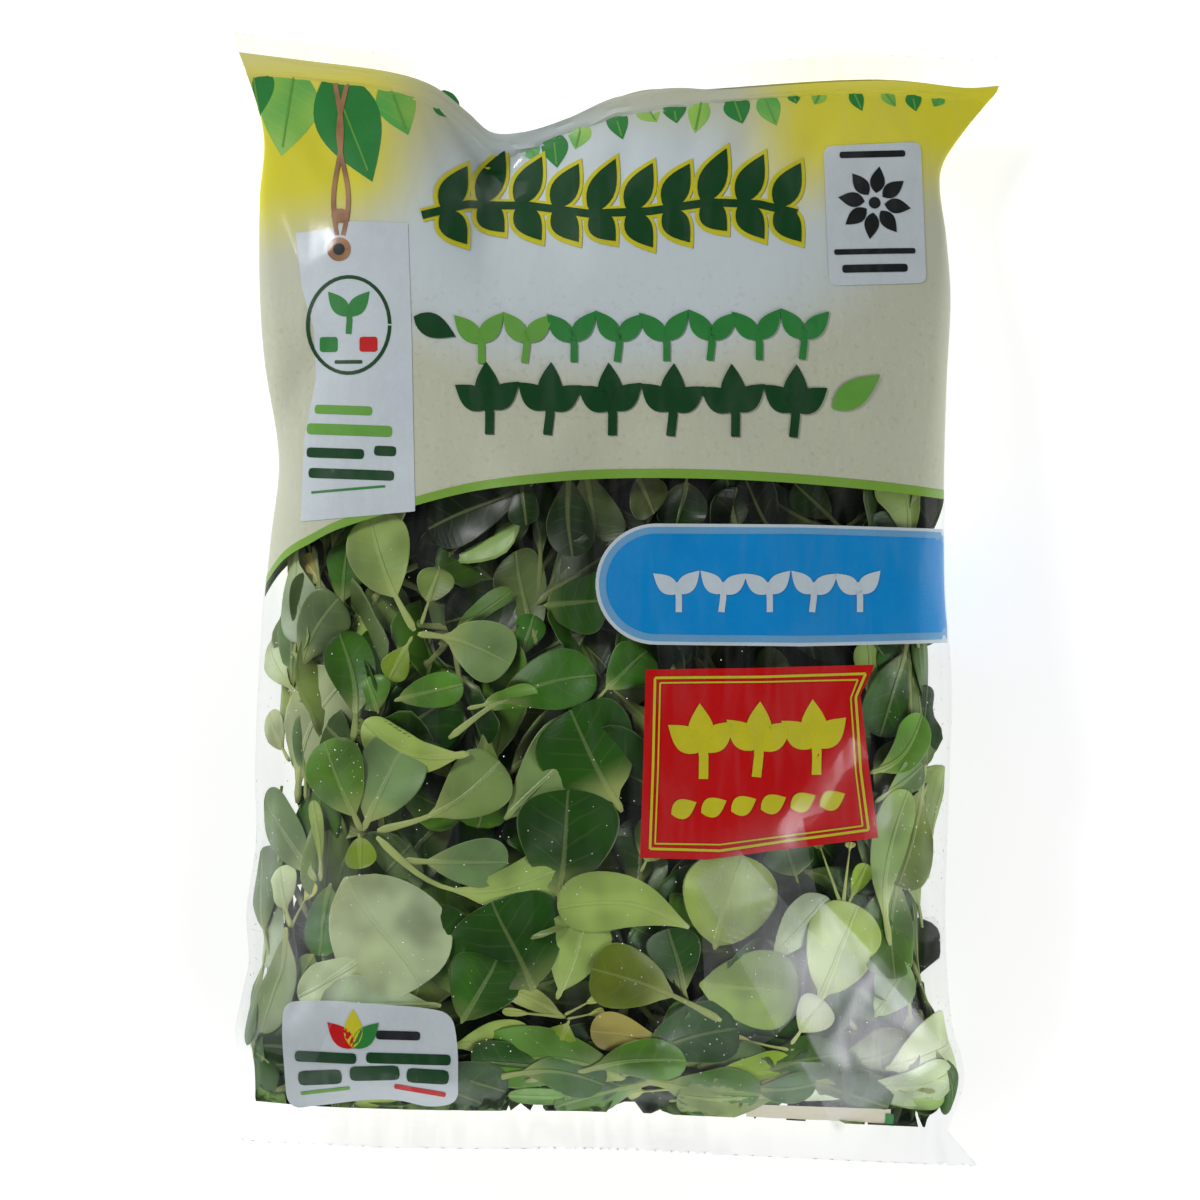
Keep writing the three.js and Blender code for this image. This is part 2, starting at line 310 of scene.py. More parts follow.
LEAF_ROOM, FRONT_ROOM, SIDE_ROOM = 1.2, 0.96, 1.4  # from a leaf to the back, front and sides of the film


def keep_inside(points):
    """Moves points that would come out of the bag back inside it."""
    x, y, z = points.T
    t, c, left, right = read_plan(x, y)
    t = np.clip(t, 0.003, 0.99)
    most = 1 - 2 * SIDE_ROOM / (right - left)
    c = np.clip(c, -most, most)
    front, back = skin(t, np.arccos(c), creased=False), skin(t, -np.arccos(c), creased=False)
    low, high = back[:, 2] + LEAF_ROOM, front[:, 2] - FRONT_ROOM
    middle = (front[:, 2] + back[:, 2]) / 2
    z = np.clip(z, np.minimum(low, middle), np.maximum(high, middle))
    return np.stack([front[:, 0], front[:, 1], z], axis=1)


# The bag's face is laid out on a sheet whose steps are 0.265 mm, from its top left corner
SHEET_STEP, SHEET_CENTRE = 0.265, (616, 599)


def sheet(x, y):
    """From places on the sheet to millimetres in plan."""
    right, down = np.asarray(x, float) - SHEET_CENTRE[0], np.asarray(y, float) - SHEET_CENTRE[1]
    return right * SHEET_STEP, -down * SHEET_STEP


bag_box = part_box("bag")
rim = skin(np.array([-FOOT_SEAL / LENGTH, 1 + HEAD_SEAL / LENGTH])[:, None], np.linspace(0, np.pi, 65)[None])
SHIFT = np.array([
    (bag_box[0][0] + bag_box[1][0]) * 500 - (rim[..., 0].min() + rim[..., 0].max()) / 2,
    (bag_box[0][1] + bag_box[1][1]) * 500 - (rim[..., 1].min() + rim[..., 1].max()) / 2,
    0,
])

# ---------------------------------------------------------------- making meshes


PRINT_EDGE_ANGLE = 0.7
PRINT_THICKNESS = 0.04


def place_object(name, data):
    made = bpy.data.objects.new(name, data)
    bpy.context.scene.collection.objects.link(made)
    return made


def write_layer(mesh, name, kind, values):
    """Stores one value for each point of a mesh."""
    field = {"FLOAT_COLOR": "color", "FLOAT_VECTOR": "vector", "FLOAT": "value"}[kind]
    mesh.attributes.new(name, kind, "POINT").data.foreach_set(field, np.asarray(values, np.float32).ravel())


def make_mesh(name, points, faces=(), layers=()):
    """A mesh from points in millimetres. layers are (name, kind, values for each point)."""
    mesh = bpy.data.meshes.new(name)
    mesh.from_pydata((np.asarray(points) / 1000).tolist(), [], [list(map(int, f)) for f in faces])
    for layer in layers:
        write_layer(mesh, *layer)
    return mesh


def shade_smooth(mesh):
    mesh.polygons.foreach_set("use_smooth", [True] * len(mesh.polygons))


def finish_piece(piece):
    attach(piece, "root")
    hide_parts("bag")


def make_piece(name, points, faces, material, slot, layers=()):
    mesh = make_mesh(name, np.asarray(points) + SHIFT, faces, layers)
    shade_smooth(mesh)
    if slot == "print":
        mesh.set_sharp_from_angle(angle=PRINT_EDGE_ANGLE)
    mesh.materials.append(material)
    piece = place_object(name, mesh)
    finish_piece(piece)
    return piece


def rim_faces(faces, offset):
    """Faces that close the gap between a sheet of faces and its copy, offset points further on."""
    edges = {edge for face in faces for edge in zip(face, face[1:] + face[:1])}
    return [(b, a, a + offset, b + offset) for a, b in edges if (b, a) not in edges]


class Patches:
    """Flat shapes laid on the inside of the film, gathered into one thin solid."""

    def __init__(self):
        self.points, self.faces, self.count = [], [], 0

    def add(self, outline, depth, spacing=1.8):
        """outline is a closed list of x, y on the sheet. Points past the bag's edge go round it."""
        loop = dense(np.stack(sheet(*np.array(outline, float).T), axis=1), spacing)
        self.add_round(np.stack([across_at(*loop.T), loop[:, 1]], axis=1), depth, spacing)

    def add_round(self, loop, depth, spacing):
        """loop is a closed outline of across and y; spacing is that of the points inside it."""
        low, high = loop.min(axis=0), loop.max(axis=0)
        grid = [
            (a, b)
            for row, b in enumerate(np.arange(low[1] + spacing / 2, high[1], spacing))
            for a in np.arange(low[0] + spacing * (0.5 + 0.5 * (row % 2)), high[0], spacing)
        ]
        grid = [g for g in grid if np.min(np.hypot(*(loop - g).T)) > spacing * 0.45]
        corners = [Vector(p) for p in loop.tolist()] + [Vector(p) for p in grid]
        flat, _, faces, _, _, _ = delaunay_2d_cdt(corners, [], [list(range(len(loop)))], 1, 1e-4)
        flat = np.array([tuple(v) for v in flat])
        faces = [list(f) for f in faces]
        turned = [f if area(flat[f]) > 0 else f[::-1] for f in faces]
        count = len(flat)
        upper, lower = (lay(*flat.T, np.full(count, d)) for d in (depth, depth + PRINT_THICKNESS))
        start = self.count
        self.points += [upper, lower]
        self.faces += [[i + start for i in f] for f in turned]
        self.faces += [[i + start + count for i in f[::-1]] for f in turned]
        self.faces += [[i + start for i in f] for f in rim_faces(turned, count)]
        self.count += 2 * count

    def piece(self, name, material):
        make_piece(name, np.concatenate(self.points), self.faces, material, "print")


def area(loop):
    x, y = loop[:, 0], loop[:, 1]
    return 0.5 * np.sum(x * np.roll(y, -1) - y * np.roll(x, -1))


def dense(loop, spacing):
    """The same outline with no side longer than the spacing."""
    out = []
    for a, b in zip(loop, np.roll(loop, -1, axis=0)):
        count = max(1, math.ceil(np.hypot(*(b - a)) / spacing))
        out += [a + (b - a) * i / count for i in range(count)]
    return np.array(out)


# ---------------------------------------------------------------- shapes for the print


def oval(cx, cy, rx, ry, steps):
    a = np.linspace(0, 2 * np.pi, steps, endpoint=False)
    return list(zip(cx + rx * np.cos(a), cy + ry * np.sin(a)))


def ribbon(path, width):
    """The outline of a line of even width along a path."""
    path = np.array(path, float)
    way = np.gradient(path, axis=0)
    way /= np.linalg.norm(way, axis=1, keepdims=True)
    side = np.stack([-way[:, 1], way[:, 0]], axis=1) * width / 2
    return list(map(tuple, np.concatenate([path + side, (path - side)[::-1]])))


def arc(cx, cy, rx, ry, start, end, steps):
    a = np.radians(np.linspace(start, end, steps))
    return [(cx + rx * math.cos(v), cy + ry * math.sin(v)) for v in a]


def rounded(corners, radius, steps=5):
    """A polygon with its corners rounded."""
    corners = [np.array(p, float) for p in corners]
    out = []
    for before, corner, after in zip(corners[-1:] + corners[:-1], corners, corners[1:] + corners[:1]):
        a, b = before - corner, after - corner
        cut = min(radius, np.hypot(*a) / 2.2, np.hypot(*b) / 2.2)
        start, end = corner + a / np.hypot(*a) * cut, corner + b / np.hypot(*b) * cut
        for s in np.linspace(0, 1, steps):
            out.append(tuple((1 - s) ** 2 * start + 2 * s * (1 - s) * corner + s * s * end))
    return out


def leaf_outline(base, tip, width, steps=11):
    """A pointed leaf from its foot to its tip."""
    base, tip = np.array(base, float), np.array(tip, float)
    way = tip - base
    side = np.array([-way[1], way[0]]) / np.hypot(*way) * width / 2
    s = np.linspace(0, 1, steps)
    bulge = np.sin(np.pi * s**0.8)[:, None]
    middle = base + way * s[:, None]
    return list(map(tuple, np.concatenate([middle + side * bulge, (middle - side * bulge)[::-1][1:-1]])))


# ---------------------------------------------------------------- shader helpers


class Wire:
    """A socket's value: an operator between wires or numbers adds its Math node."""

    def __init__(self, finish, socket):
        self.finish, self.socket = finish, socket

    def math(self, operation, *inputs):
        return self.finish.add("ShaderNodeMath", {"operation": operation}, dict(enumerate(inputs)))

    def __add__(self, other): return self.math("ADD", self, other)
    def __radd__(self, other): return self.math("ADD", other, self)
    def __sub__(self, other): return self.math("SUBTRACT", self, other)
    def __rsub__(self, other): return self.math("SUBTRACT", other, self)
    def __mul__(self, other): return self.math("MULTIPLY", self, other)
    def __truediv__(self, other): return self.math("DIVIDE", self, other)
    def __pow__(self, other): return self.math("POWER", self, other)
    def __abs__(self): return self.math("ABSOLUTE", self)

    def above(self, low, high):
        """0 below low, 1 above high, smooth between."""
        return self.finish.add(
            "ShaderNodeMapRange", {"interpolation_type": "SMOOTHSTEP"},
            {"Value": self, "From Min": low, "From Max": high},
        )

    def most(self, other): return self.math("MAXIMUM", self, other)
    def least(self, other): return self.math("MINIMUM", self, other)
    def wave(self): return self.math("SINE", self)


def add_node(tree, kind, settings, inputs):
    """A new node with its settings and what goes into it: wires, sockets or plain values."""
    node = tree.nodes.new(kind)
    for key, value in (settings or {}).items():
        setattr(node, key, value)
    for key, value in (inputs or {}).items():
        socket = node.inputs[key]
        value = getattr(value, "socket", value)
        if isinstance(value, bpy.types.NodeSocket):
            tree.links.new(value, socket)
        elif socket.type == "RGBA":
            socket.default_value = (*value, 1)
        else:
            socket.default_value = value
    return node


class Finish:
    """One material, built node by node."""

    def __init__(self, name):
        self.material = bpy.data.materials.new(name)
        self.material.use_nodes = True
        self.tree = self.material.node_tree
        self.tree.nodes.clear()

    def add(self, kind, settings=None, inputs=None, output=0):
        node = add_node(self.tree, kind, settings, inputs)
        return Wire(self, node.outputs[output])

    def place(self):
        """Object coordinates, in metres."""
        return self.add("ShaderNodeTexCoord", output="Object")

    def axes(self, vector):
        node = add_node(self.tree, "ShaderNodeSeparateXYZ", {}, {0: vector})
        return [Wire(self, socket) for socket in node.outputs]

    def plan_mm(self):
        """x and y from above, in millimetres."""
        x, y, _ = self.axes(self.place())
        return x * 1000, y * 1000

    def noise(self, scale, detail, vector=None):
        inputs = {"Vector": vector or self.place(), "Scale": scale, "Detail": detail}
        return self.add("ShaderNodeTexNoise", {}, inputs, "Fac")

    def stretched(self, scale, turn):
        return self.add("ShaderNodeMapping", {}, {"Vector": self.place(), "Scale": scale, "Rotation": (0, 0, turn)})

    def attribute(self, name, output):
        return self.add("ShaderNodeAttribute", {"attribute_name": name}, {}, output)

    def blend(self, factor, first, second, mode="MIX"):
        """Mixes two colours; the Mix node has its colours on sockets 6 and 7 and its result on 2."""
        return self.add(
            "ShaderNodeMix", {"data_type": "RGBA", "blend_type": mode}, {0: factor, 6: first, 7: second}, 2,
        )

    def bump(self, height, strength, distance):
        return self.add("ShaderNodeBump", {}, {"Height": height, "Strength": strength, "Distance": distance})

    def gloss(self, **sockets):
        names = {key.replace("_", " ").title().replace("Ior", "IOR"): value for key, value in sockets.items()}
        return self.add("ShaderNodeBsdfPrincipled", {}, names)

    def done(self, shader):
        add_node(self.tree, "ShaderNodeOutputMaterial", {}, {"Surface": shader})
        return self.material


def paint(red, green, blue):
    """A colour given as it looks on a screen, 0 to 255."""
    shares = (v / 255 for v in (red, green, blue))
    return tuple(v / 12.92 if v <= 0.04045 else ((v + 0.055) / 1.055) ** 2.4 for v in shares)


# ---------------------------------------------------------------- finishes


def oval_patch(across, up, half_width, half_height):
    """1 inside an oval and 0 outside it; across and up are counted from its middle."""
    return 1 - ((across / half_width) ** 2 + (up / half_height) ** 2).above(0.4, 1.2)


def clear_film():
    """Thin clear film: it lets light through, shines, and is a little milky where it is creased."""
    f = Finish("clear film")
    facing = f.add("ShaderNodeLayerWeight", {}, {"Blend": 0.5}, "Facing")
    rim_shine = facing**8
    cloud = f.noise(26, 1)
    along = f.noise(1, 2, f.stretched((130, 28, 60), 0.5))
    athwart = f.noise(1, 2, f.stretched((150, 24, 60), -0.75))
    creases = (1 - abs(along - 0.5) * 9).most(0) * cloud.above(0.45, 0.62)
    creases = creases.most((1 - abs(athwart - 0.5) * 9).most(0) * cloud.above(0.52, 0.38))

    # the lower right catches the light in straight-edged facets, with one broad band across them
    x, y = f.plan_mm()
    cells = {"Vector": f.stretched((27, 17, 24), 0.6), "Scale": 1.0, "Randomness": 0.9}
    facet = f.axes(f.add("ShaderNodeTexVoronoi", {}, cells, "Color"))[0]
    steps = facet.above(0.25, 0.29) * 0.5 + facet.above(0.55, 0.6) * 0.5
    milky = oval_patch(x - 56, y + 96, 50, 42) * steps
    off = abs((x - 48) * 0.82 + (y + 92) * 0.57 + facet * 9 - 4)
    down = (x - 48) * 0.57 - (y + 92) * 0.82
    band = (1 - (off / (11 + down * 0.12)).above(0.9, 1.02)) * (1 - abs(down - 7).above(36, 41))
    milky = (milky * 0.55).most(band)
    milky = milky.most(oval_patch(x + 84, y + 92, 22, 38) * facet.above(0.55, 0.6) * 0.45)

    share = 0.006 + rim_shine * 0.6 + creases * 0.045 + cloud.above(0.5, 0.75) * 0.01 + milky * 0.25
    height = along * 0.28 + athwart * 0.28 + f.noise(30, 0) * 0.5
    shine = f.gloss(
        base_color=(0.82, 0.83, 0.88), metallic=0.7, roughness=0.11 + milky * 0.35,
        normal=f.bump(height, 0.26, 0.0012),
    )
    return see_through(f, share.least(0.95), (0.965, 0.968, 0.97), shine)


def see_through(f, share, tint, shine):
    """Clear but for its share of a shiny surface."""
    clear = f.add("ShaderNodeBsdfTransparent", {}, {"Color": tint})
    return f.done(f.add("ShaderNodeMixShader", {}, {0: share, 1: clear, 2: shine}))


def head_colour(f):
    """The head's ground: yellow at the upper corners, pale grey in the middle, cream lower down, and painted paler
    along its top edge as painted light.
    """
    x, y = f.plan_mm()
    cream, grey = paint(204, 207, 183), paint(213, 225, 229)
    yellow, sun = paint(229, 222, 52), paint(240, 230, 96)
    drift = f.noise(12, 1)
    middle = ((x + 2) / 66) ** 2 + ((y - 94) / 34) ** 2
    ground = f.blend((middle + drift * 0.7).above(0.9, 1.9), grey, cream)
    left = (1 - (x + drift * 16).above(-62, -34)) * (y - x * 0.25 + drift * 20).above(118, 140)
    right = (x + drift * 12).above(34, 58) * (y + drift * 16).above(106, 130)
    # painted light: the top edge is painted paler, washed out by light
    painted_top_light = (y + drift * 12).above(138, 152) * 0.35
    yellows = f.blend(f.noise(14, 1).above(0.4, 0.62), yellow, sun)
    colour = f.blend(left.most(right).least(1), ground, yellows)
    return f.blend(painted_top_light, colour, paint(232, 234, 214))


def head_print():
    f = Finish("head print")
    fibres = f.noise(1, 2, f.stretched((900, 420, 900), 0.4))
    flecks = f.noise(640, 1).above(0.6, 0.72)
    lower = 1 - f.axes(f.place())[1].above(0.07, 0.1)
    colour = head_colour(f)
    colour = f.blend(flecks * lower * 0.22, colour, paint(170, 165, 140))
    colour = f.blend(fibres.above(0.5, 0.8) * lower * 0.25, colour, paint(232, 230, 214))
    return f.done(f.gloss(base_color=colour, roughness=0.45 + fibres * 0.15, specular_ior_level=0.2))


def ink(name, colour, other=None, grain=0.2):
    """Flat printed ink with a little unevenness in it, in one or two screen colours."""
    f = Finish(name)
    colour, other = paint(*colour), other and paint(*other)
    mottle = f.noise(160, 1).above(0.35, 0.75)
    dots = f.noise(900, 0).above(0.45, 0.7)
    shade = f.blend(mottle * grain, colour, other or tuple(v * 0.72 for v in colour))
    shade = f.blend(dots * 0.08, shade, tuple(min(1, v * 1.25 + 0.02) for v in colour))
    return f.done(f.gloss(base_color=shade, roughness=0.38 + mottle * 0.08, specular_ior_level=0.2))


def leaf_ink():
    """Printed leaves of the head: two greens in soft patches, with veins."""
    f = Finish("printed leaf green")
    x, y, _ = f.axes(f.place())
    veins = abs(((x * 0.6 + y) * 900).wave()).above(0.94, 1)
    shade = f.blend(f.noise(38, 1).above(0.35, 0.65), paint(78, 178, 82), paint(158, 208, 84))
    shade = f.blend(veins * 0.15, shade, paint(176, 212, 104))
    return f.done(f.gloss(base_color=shade, roughness=0.4))


def leaf_skin():
    """Fresh leaf: each leaf brings its own tint, with painted light and shade in it, and place gives u, v and half
    width in mm.
    """
    f = Finish("lettuce leaf")
    tint, seed = f.attribute("tint", "Color"), f.attribute("tint", "Alpha")
    along, across, half = f.axes(f.attribute("place", "Vector"))
    off = abs(across) * half
    rib = 1 - (off / (1.15 - along * 0.75)).above(0.35, 1)
    mottle, broad = f.noise(95, 1), f.noise(34, 0)
    branch = abs((along * 20 - off * 0.4 + seed * 9 + mottle * 2.5).wave()).above(0.96, 1)
    branch = branch * (1 - abs(across).above(0.5, 0.9))
    shade = f.blend(mottle.above(0.3, 0.75) * 0.45, tint, (0.0, 0.0, 0.0))
    shade = f.blend(broad.above(0.35, 0.7) * 0.3, shade, f.blend(1.0, tint, (1.5, 1.4, 1.2), "MULTIPLY"))
    pale = f.blend(0.5, tint, paint(196, 208, 132))
    shade = f.blend(rib * 0.36, shade, pale)
    shade = f.blend(branch * 0.07, shade, pale)
    # a paler rim along the blade's edge: a painted highlight
    shade = f.blend(abs(across).above(0.955, 1) * along.above(0.2, 0.5) * 0.35, shade, pale)
    bulge = (1 - across * across) * half * (seed * 2 - 0.6) * 0.42 - off * (1 - seed) * 0.3
    height = bulge - rib * 0.35 + f.noise(60, 1) * 3
    return f.done(f.gloss(
        base_color=shade, roughness=0.3 + mottle * 0.2, normal=f.bump(height, 0.7, 0.001), specular_ior_level=0.38,
    ))


def mist_drop():
    f = Finish("mist drop")
    share = f.noise(500, 1).above(0.3, 0.7) * 0.25 + 0.5
    shine = f.gloss(base_color=(0.95, 0.97, 0.97), metallic=0.3, roughness=0.08)
    return see_through(f, share, (1.0, 1.0, 1.0), shine)


def studio_floor():
    f = Finish("studio floor")
    return f.done(f.gloss(
        base_color=(0.9, 0.9, 0.9), roughness=0.9, emission_color=(1.0, 1.0, 1.0), emission_strength=0.6,
    ))


# ---------------------------------------------------------------- the film

ROUND_FRONT, ROUND_BACK, LONG_STEPS, SEAL_STEPS = 208, 52, 236, 22
TOOTH_PITCH, FOOT_TOOTH, HEAD_TOOTH = 2.1, 0.35, 0.21  # the zigzag cut of both ends


def film_angles():
    """Even steps round the front, wider ones round the back."""
    half = (ACROSS_RIGHT - ACROSS_LEFT) / 2
    front = angle_of(ACROSS_RIGHT - np.linspace(0, 2 * half, ROUND_FRONT, endpoint=False))
    back = angle_of(ACROSS_LEFT - np.linspace(0, GIRTH - 2 * half, ROUND_BACK, endpoint=False))
    return np.concatenate([front, back])


def film_shares():
    foot = -FOOT_SEAL / LENGTH * (1 - np.arange(SEAL_STEPS) / SEAL_STEPS)
    even = np.linspace(0, 1, LONG_STEPS + 1)
    body = even - 0.05 * np.sin(2 * np.pi * even)
    head = 1 + HEAD_SEAL / LENGTH * np.arange(1, SEAL_STEPS + 1) / SEAL_STEPS
    return np.concatenate([foot, body, head])


def tube_faces(rows, columns):
    """The faces of rows of points that run round the bag."""
    pairs = [(j, (j + 1) % columns) for j in range(columns)]
    return [
        (row + a, row + columns + a, row + columns + b, row + b)
        for row in range(0, (rows - 1) * columns, columns) for a, b in pairs
    ]


def make_film():
    angles, shares = film_angles(), film_shares()
    points = skin(shares[:, None], angles[None, :])
    columns = len(angles)
    teeth = np.sign(np.sin(points[:, :, 0] * 2 * np.pi / TOOTH_PITCH))
    points[0, :, 1] -= FOOT_TOOTH * teeth[0]
    points[-1, :, 1] += HEAD_TOOTH * teeth[-1]
    points = points.reshape(-1, 3)
    faces = tube_faces(len(shares), columns)
    right, left = 0, ROUND_FRONT
    front = list(range(right, left + 1))
    back = [right] + list(range(columns - 1, left, -1)) + [left]
    for start, flip in ((0, False), ((len(shares) - 1) * columns, True)):
        end = close_end([start + i for i in front], [start + i for i in back], points)
        faces += [f[::-1] if flip else f for f in end]
    return make_piece("film", points, faces, clear_film(), "clear_film")


def close_end(front, back, points):
    """Joins the front and back edge of an open end, which share their first and last point."""
    faces, i, j = [], 0, 0
    while i < len(front) - 1 or j < len(back) - 1:
        take_front = j == len(back) - 1 or (i < len(front) - 1 and points[front[i + 1]][0] >= points[back[j + 1]][0])
        if take_front:
            face, i = (front[i], front[i + 1], back[j]), i + 1
        else:
            face, j = (front[i], back[j + 1], back[j]), j + 1
        if len(set(face)) == 3:
            faces.append(face)
    return faces


# ---------------------------------------------------------------- the print

HEAD_BORDER = [
    (-92.2, 2.4), (-86.4, 11.7), (-78.4, 17), (-71.8, 20.4), (-53.3, 26.2), (-36, 30.5), (-14.8, 32.9),
    (6.4, 33.7), (38.2, 32.9), (67.3, 30.7), (86.9, 28.4),
]
PRINT_INTO_SEAL = [(-1, 4.5), (-0.5, 5.7), (-0.34, 5.9), (-0.15, 4), (0.06, 6), (0.25, 3.8), (0.75, 3.4), (1, 1.8)]
BACK_BORDER_Y = 14
BORDER_BELOW, BORDER_ABOVE = 1.9, 0.5
HEAD_COLUMNS, HEAD_ROWS, BORDER_ROWS = 300, 90, 4
HEAD_DEPTH, BORDER_DEPTH, HEAD_PRINT_THICKNESS = 0.42, 0.32, 0.06
PRINT_TOP = [  # the head print's upper edge on the sheet
    (246, 52), (321, 62), (397, 71), (438, 85), (472, 111), (495, 130), (525, 126), (566, 118), (622, 95), (732, 86),
    (867, 80), (961, 86), (999, 85),
]


def head_lattice(low, high, depth, rows):
    """A band round the bag between two heights, given as functions of the angle, as a closed ring."""
    columns = HEAD_COLUMNS
    angles = angle_of(ACROSS_RIGHT - np.linspace(0, GIRTH, columns, endpoint=False))
    bottom, top = low(angles), high(angles)
    shares = bottom + (top - bottom) * np.linspace(0, 1, rows)[:, None]
    turned = np.broadcast_to(angles, shares.shape)
    x, y, _ = np.moveaxis(skin(shares, turned, creased=False), -1, 0)
    across = np.broadcast_to(across_of(angles), shares.shape)
    sides = [lay(across, y, np.full(shares.shape, d)) for d in (depth, depth + HEAD_PRINT_THICKNESS)]
    faces = tube_faces(rows, columns)
    count = rows * columns
    faces += [tuple(i + count for i in f[::-1]) for f in faces]
    for row in (0, rows - 1):
        for j in range(columns):
            a, b = row * columns + j, row * columns + (j + 1) % columns
            faces.append((a, b, b + count, a + count) if row == 0 else (b, a, a + count, b + count))
    return np.concatenate([side.reshape(-1, 3) for side in sides]), faces


def border_share(angles):
    """The head print's lower edge: its curve on the front, level round the back."""
    c = np.cos(angles)
    x, _, _ = np.moveaxis(skin(0.6, angles, creased=False), -1, 0)
    front = through(HEAD_BORDER, x)
    edge = np.where(c > 0, HEAD_BORDER[-1][1], HEAD_BORDER[0][1])
    back = edge + (BACK_BORDER_Y - edge) * ease(-np.sin(angles), 0, 0.5)
    return share_at(np.where(np.sin(angles) >= 0, front, back), c)


def make_head_print():
    def top(angles):
        return 1 + np.minimum(through(PRINT_INTO_SEAL, np.cos(angles)), 9) / LENGTH

    points, faces = head_lattice(border_share, top, HEAD_DEPTH, HEAD_ROWS)
    make_piece("head_print", points, faces, head_print(), "print")

    def beside_border(distance):
        return lambda angles: border_share(angles) + distance / LENGTH

    points, faces = head_lattice(beside_border(-BORDER_BELOW), beside_border(BORDER_ABOVE), BORDER_DEPTH, BORDER_ROWS)
    make_piece("head_border", points, faces, ink("border green", (132, 176, 66), (104, 158, 58)), "print")


def bars(patches, rows, depth):
    """Plain bars that stand for lines of print: each is x, y of its middle, length, height, turn."""
    for x, y, length, height, turn in rows:
        half_l, half_h = length / 2, height / 2
        corners = [(-half_l, half_h), (half_l, half_h), (half_l, -half_h), (-half_l, -half_h)]
        c, s = math.cos(turn), math.sin(turn)
        loop = [(x + p * c - q * s, y + p * s + q * c) for p, q in corners]
        patches.add(rounded(loop, height * 0.35, 3), depth, 1.3)


def sprout(patches, x, y, size, depth, turn=0.0, leaves=((-0.62, 1.0), (0.62, 1.0))):
    """A small stem with leaves that stand out to its sides."""
    def spot(p, q):
        c, s = math.cos(turn), math.sin(turn)
        return (x + (p * c - q * s) * size, y - (p * s + q * c) * size)

    patches.add(ribbon([spot(0, -0.5), spot(0.02, -0.2), spot(0, 0.12)], size * 0.13), depth)
    for lean, reach in leaves:
        tip = (math.sin(lean) * reach * 0.78, -0.08 + math.cos(lean) * reach * 0.62)
        patches.add(leaf_outline(spot(0, -0.12), spot(*tip), size * 0.36), depth)


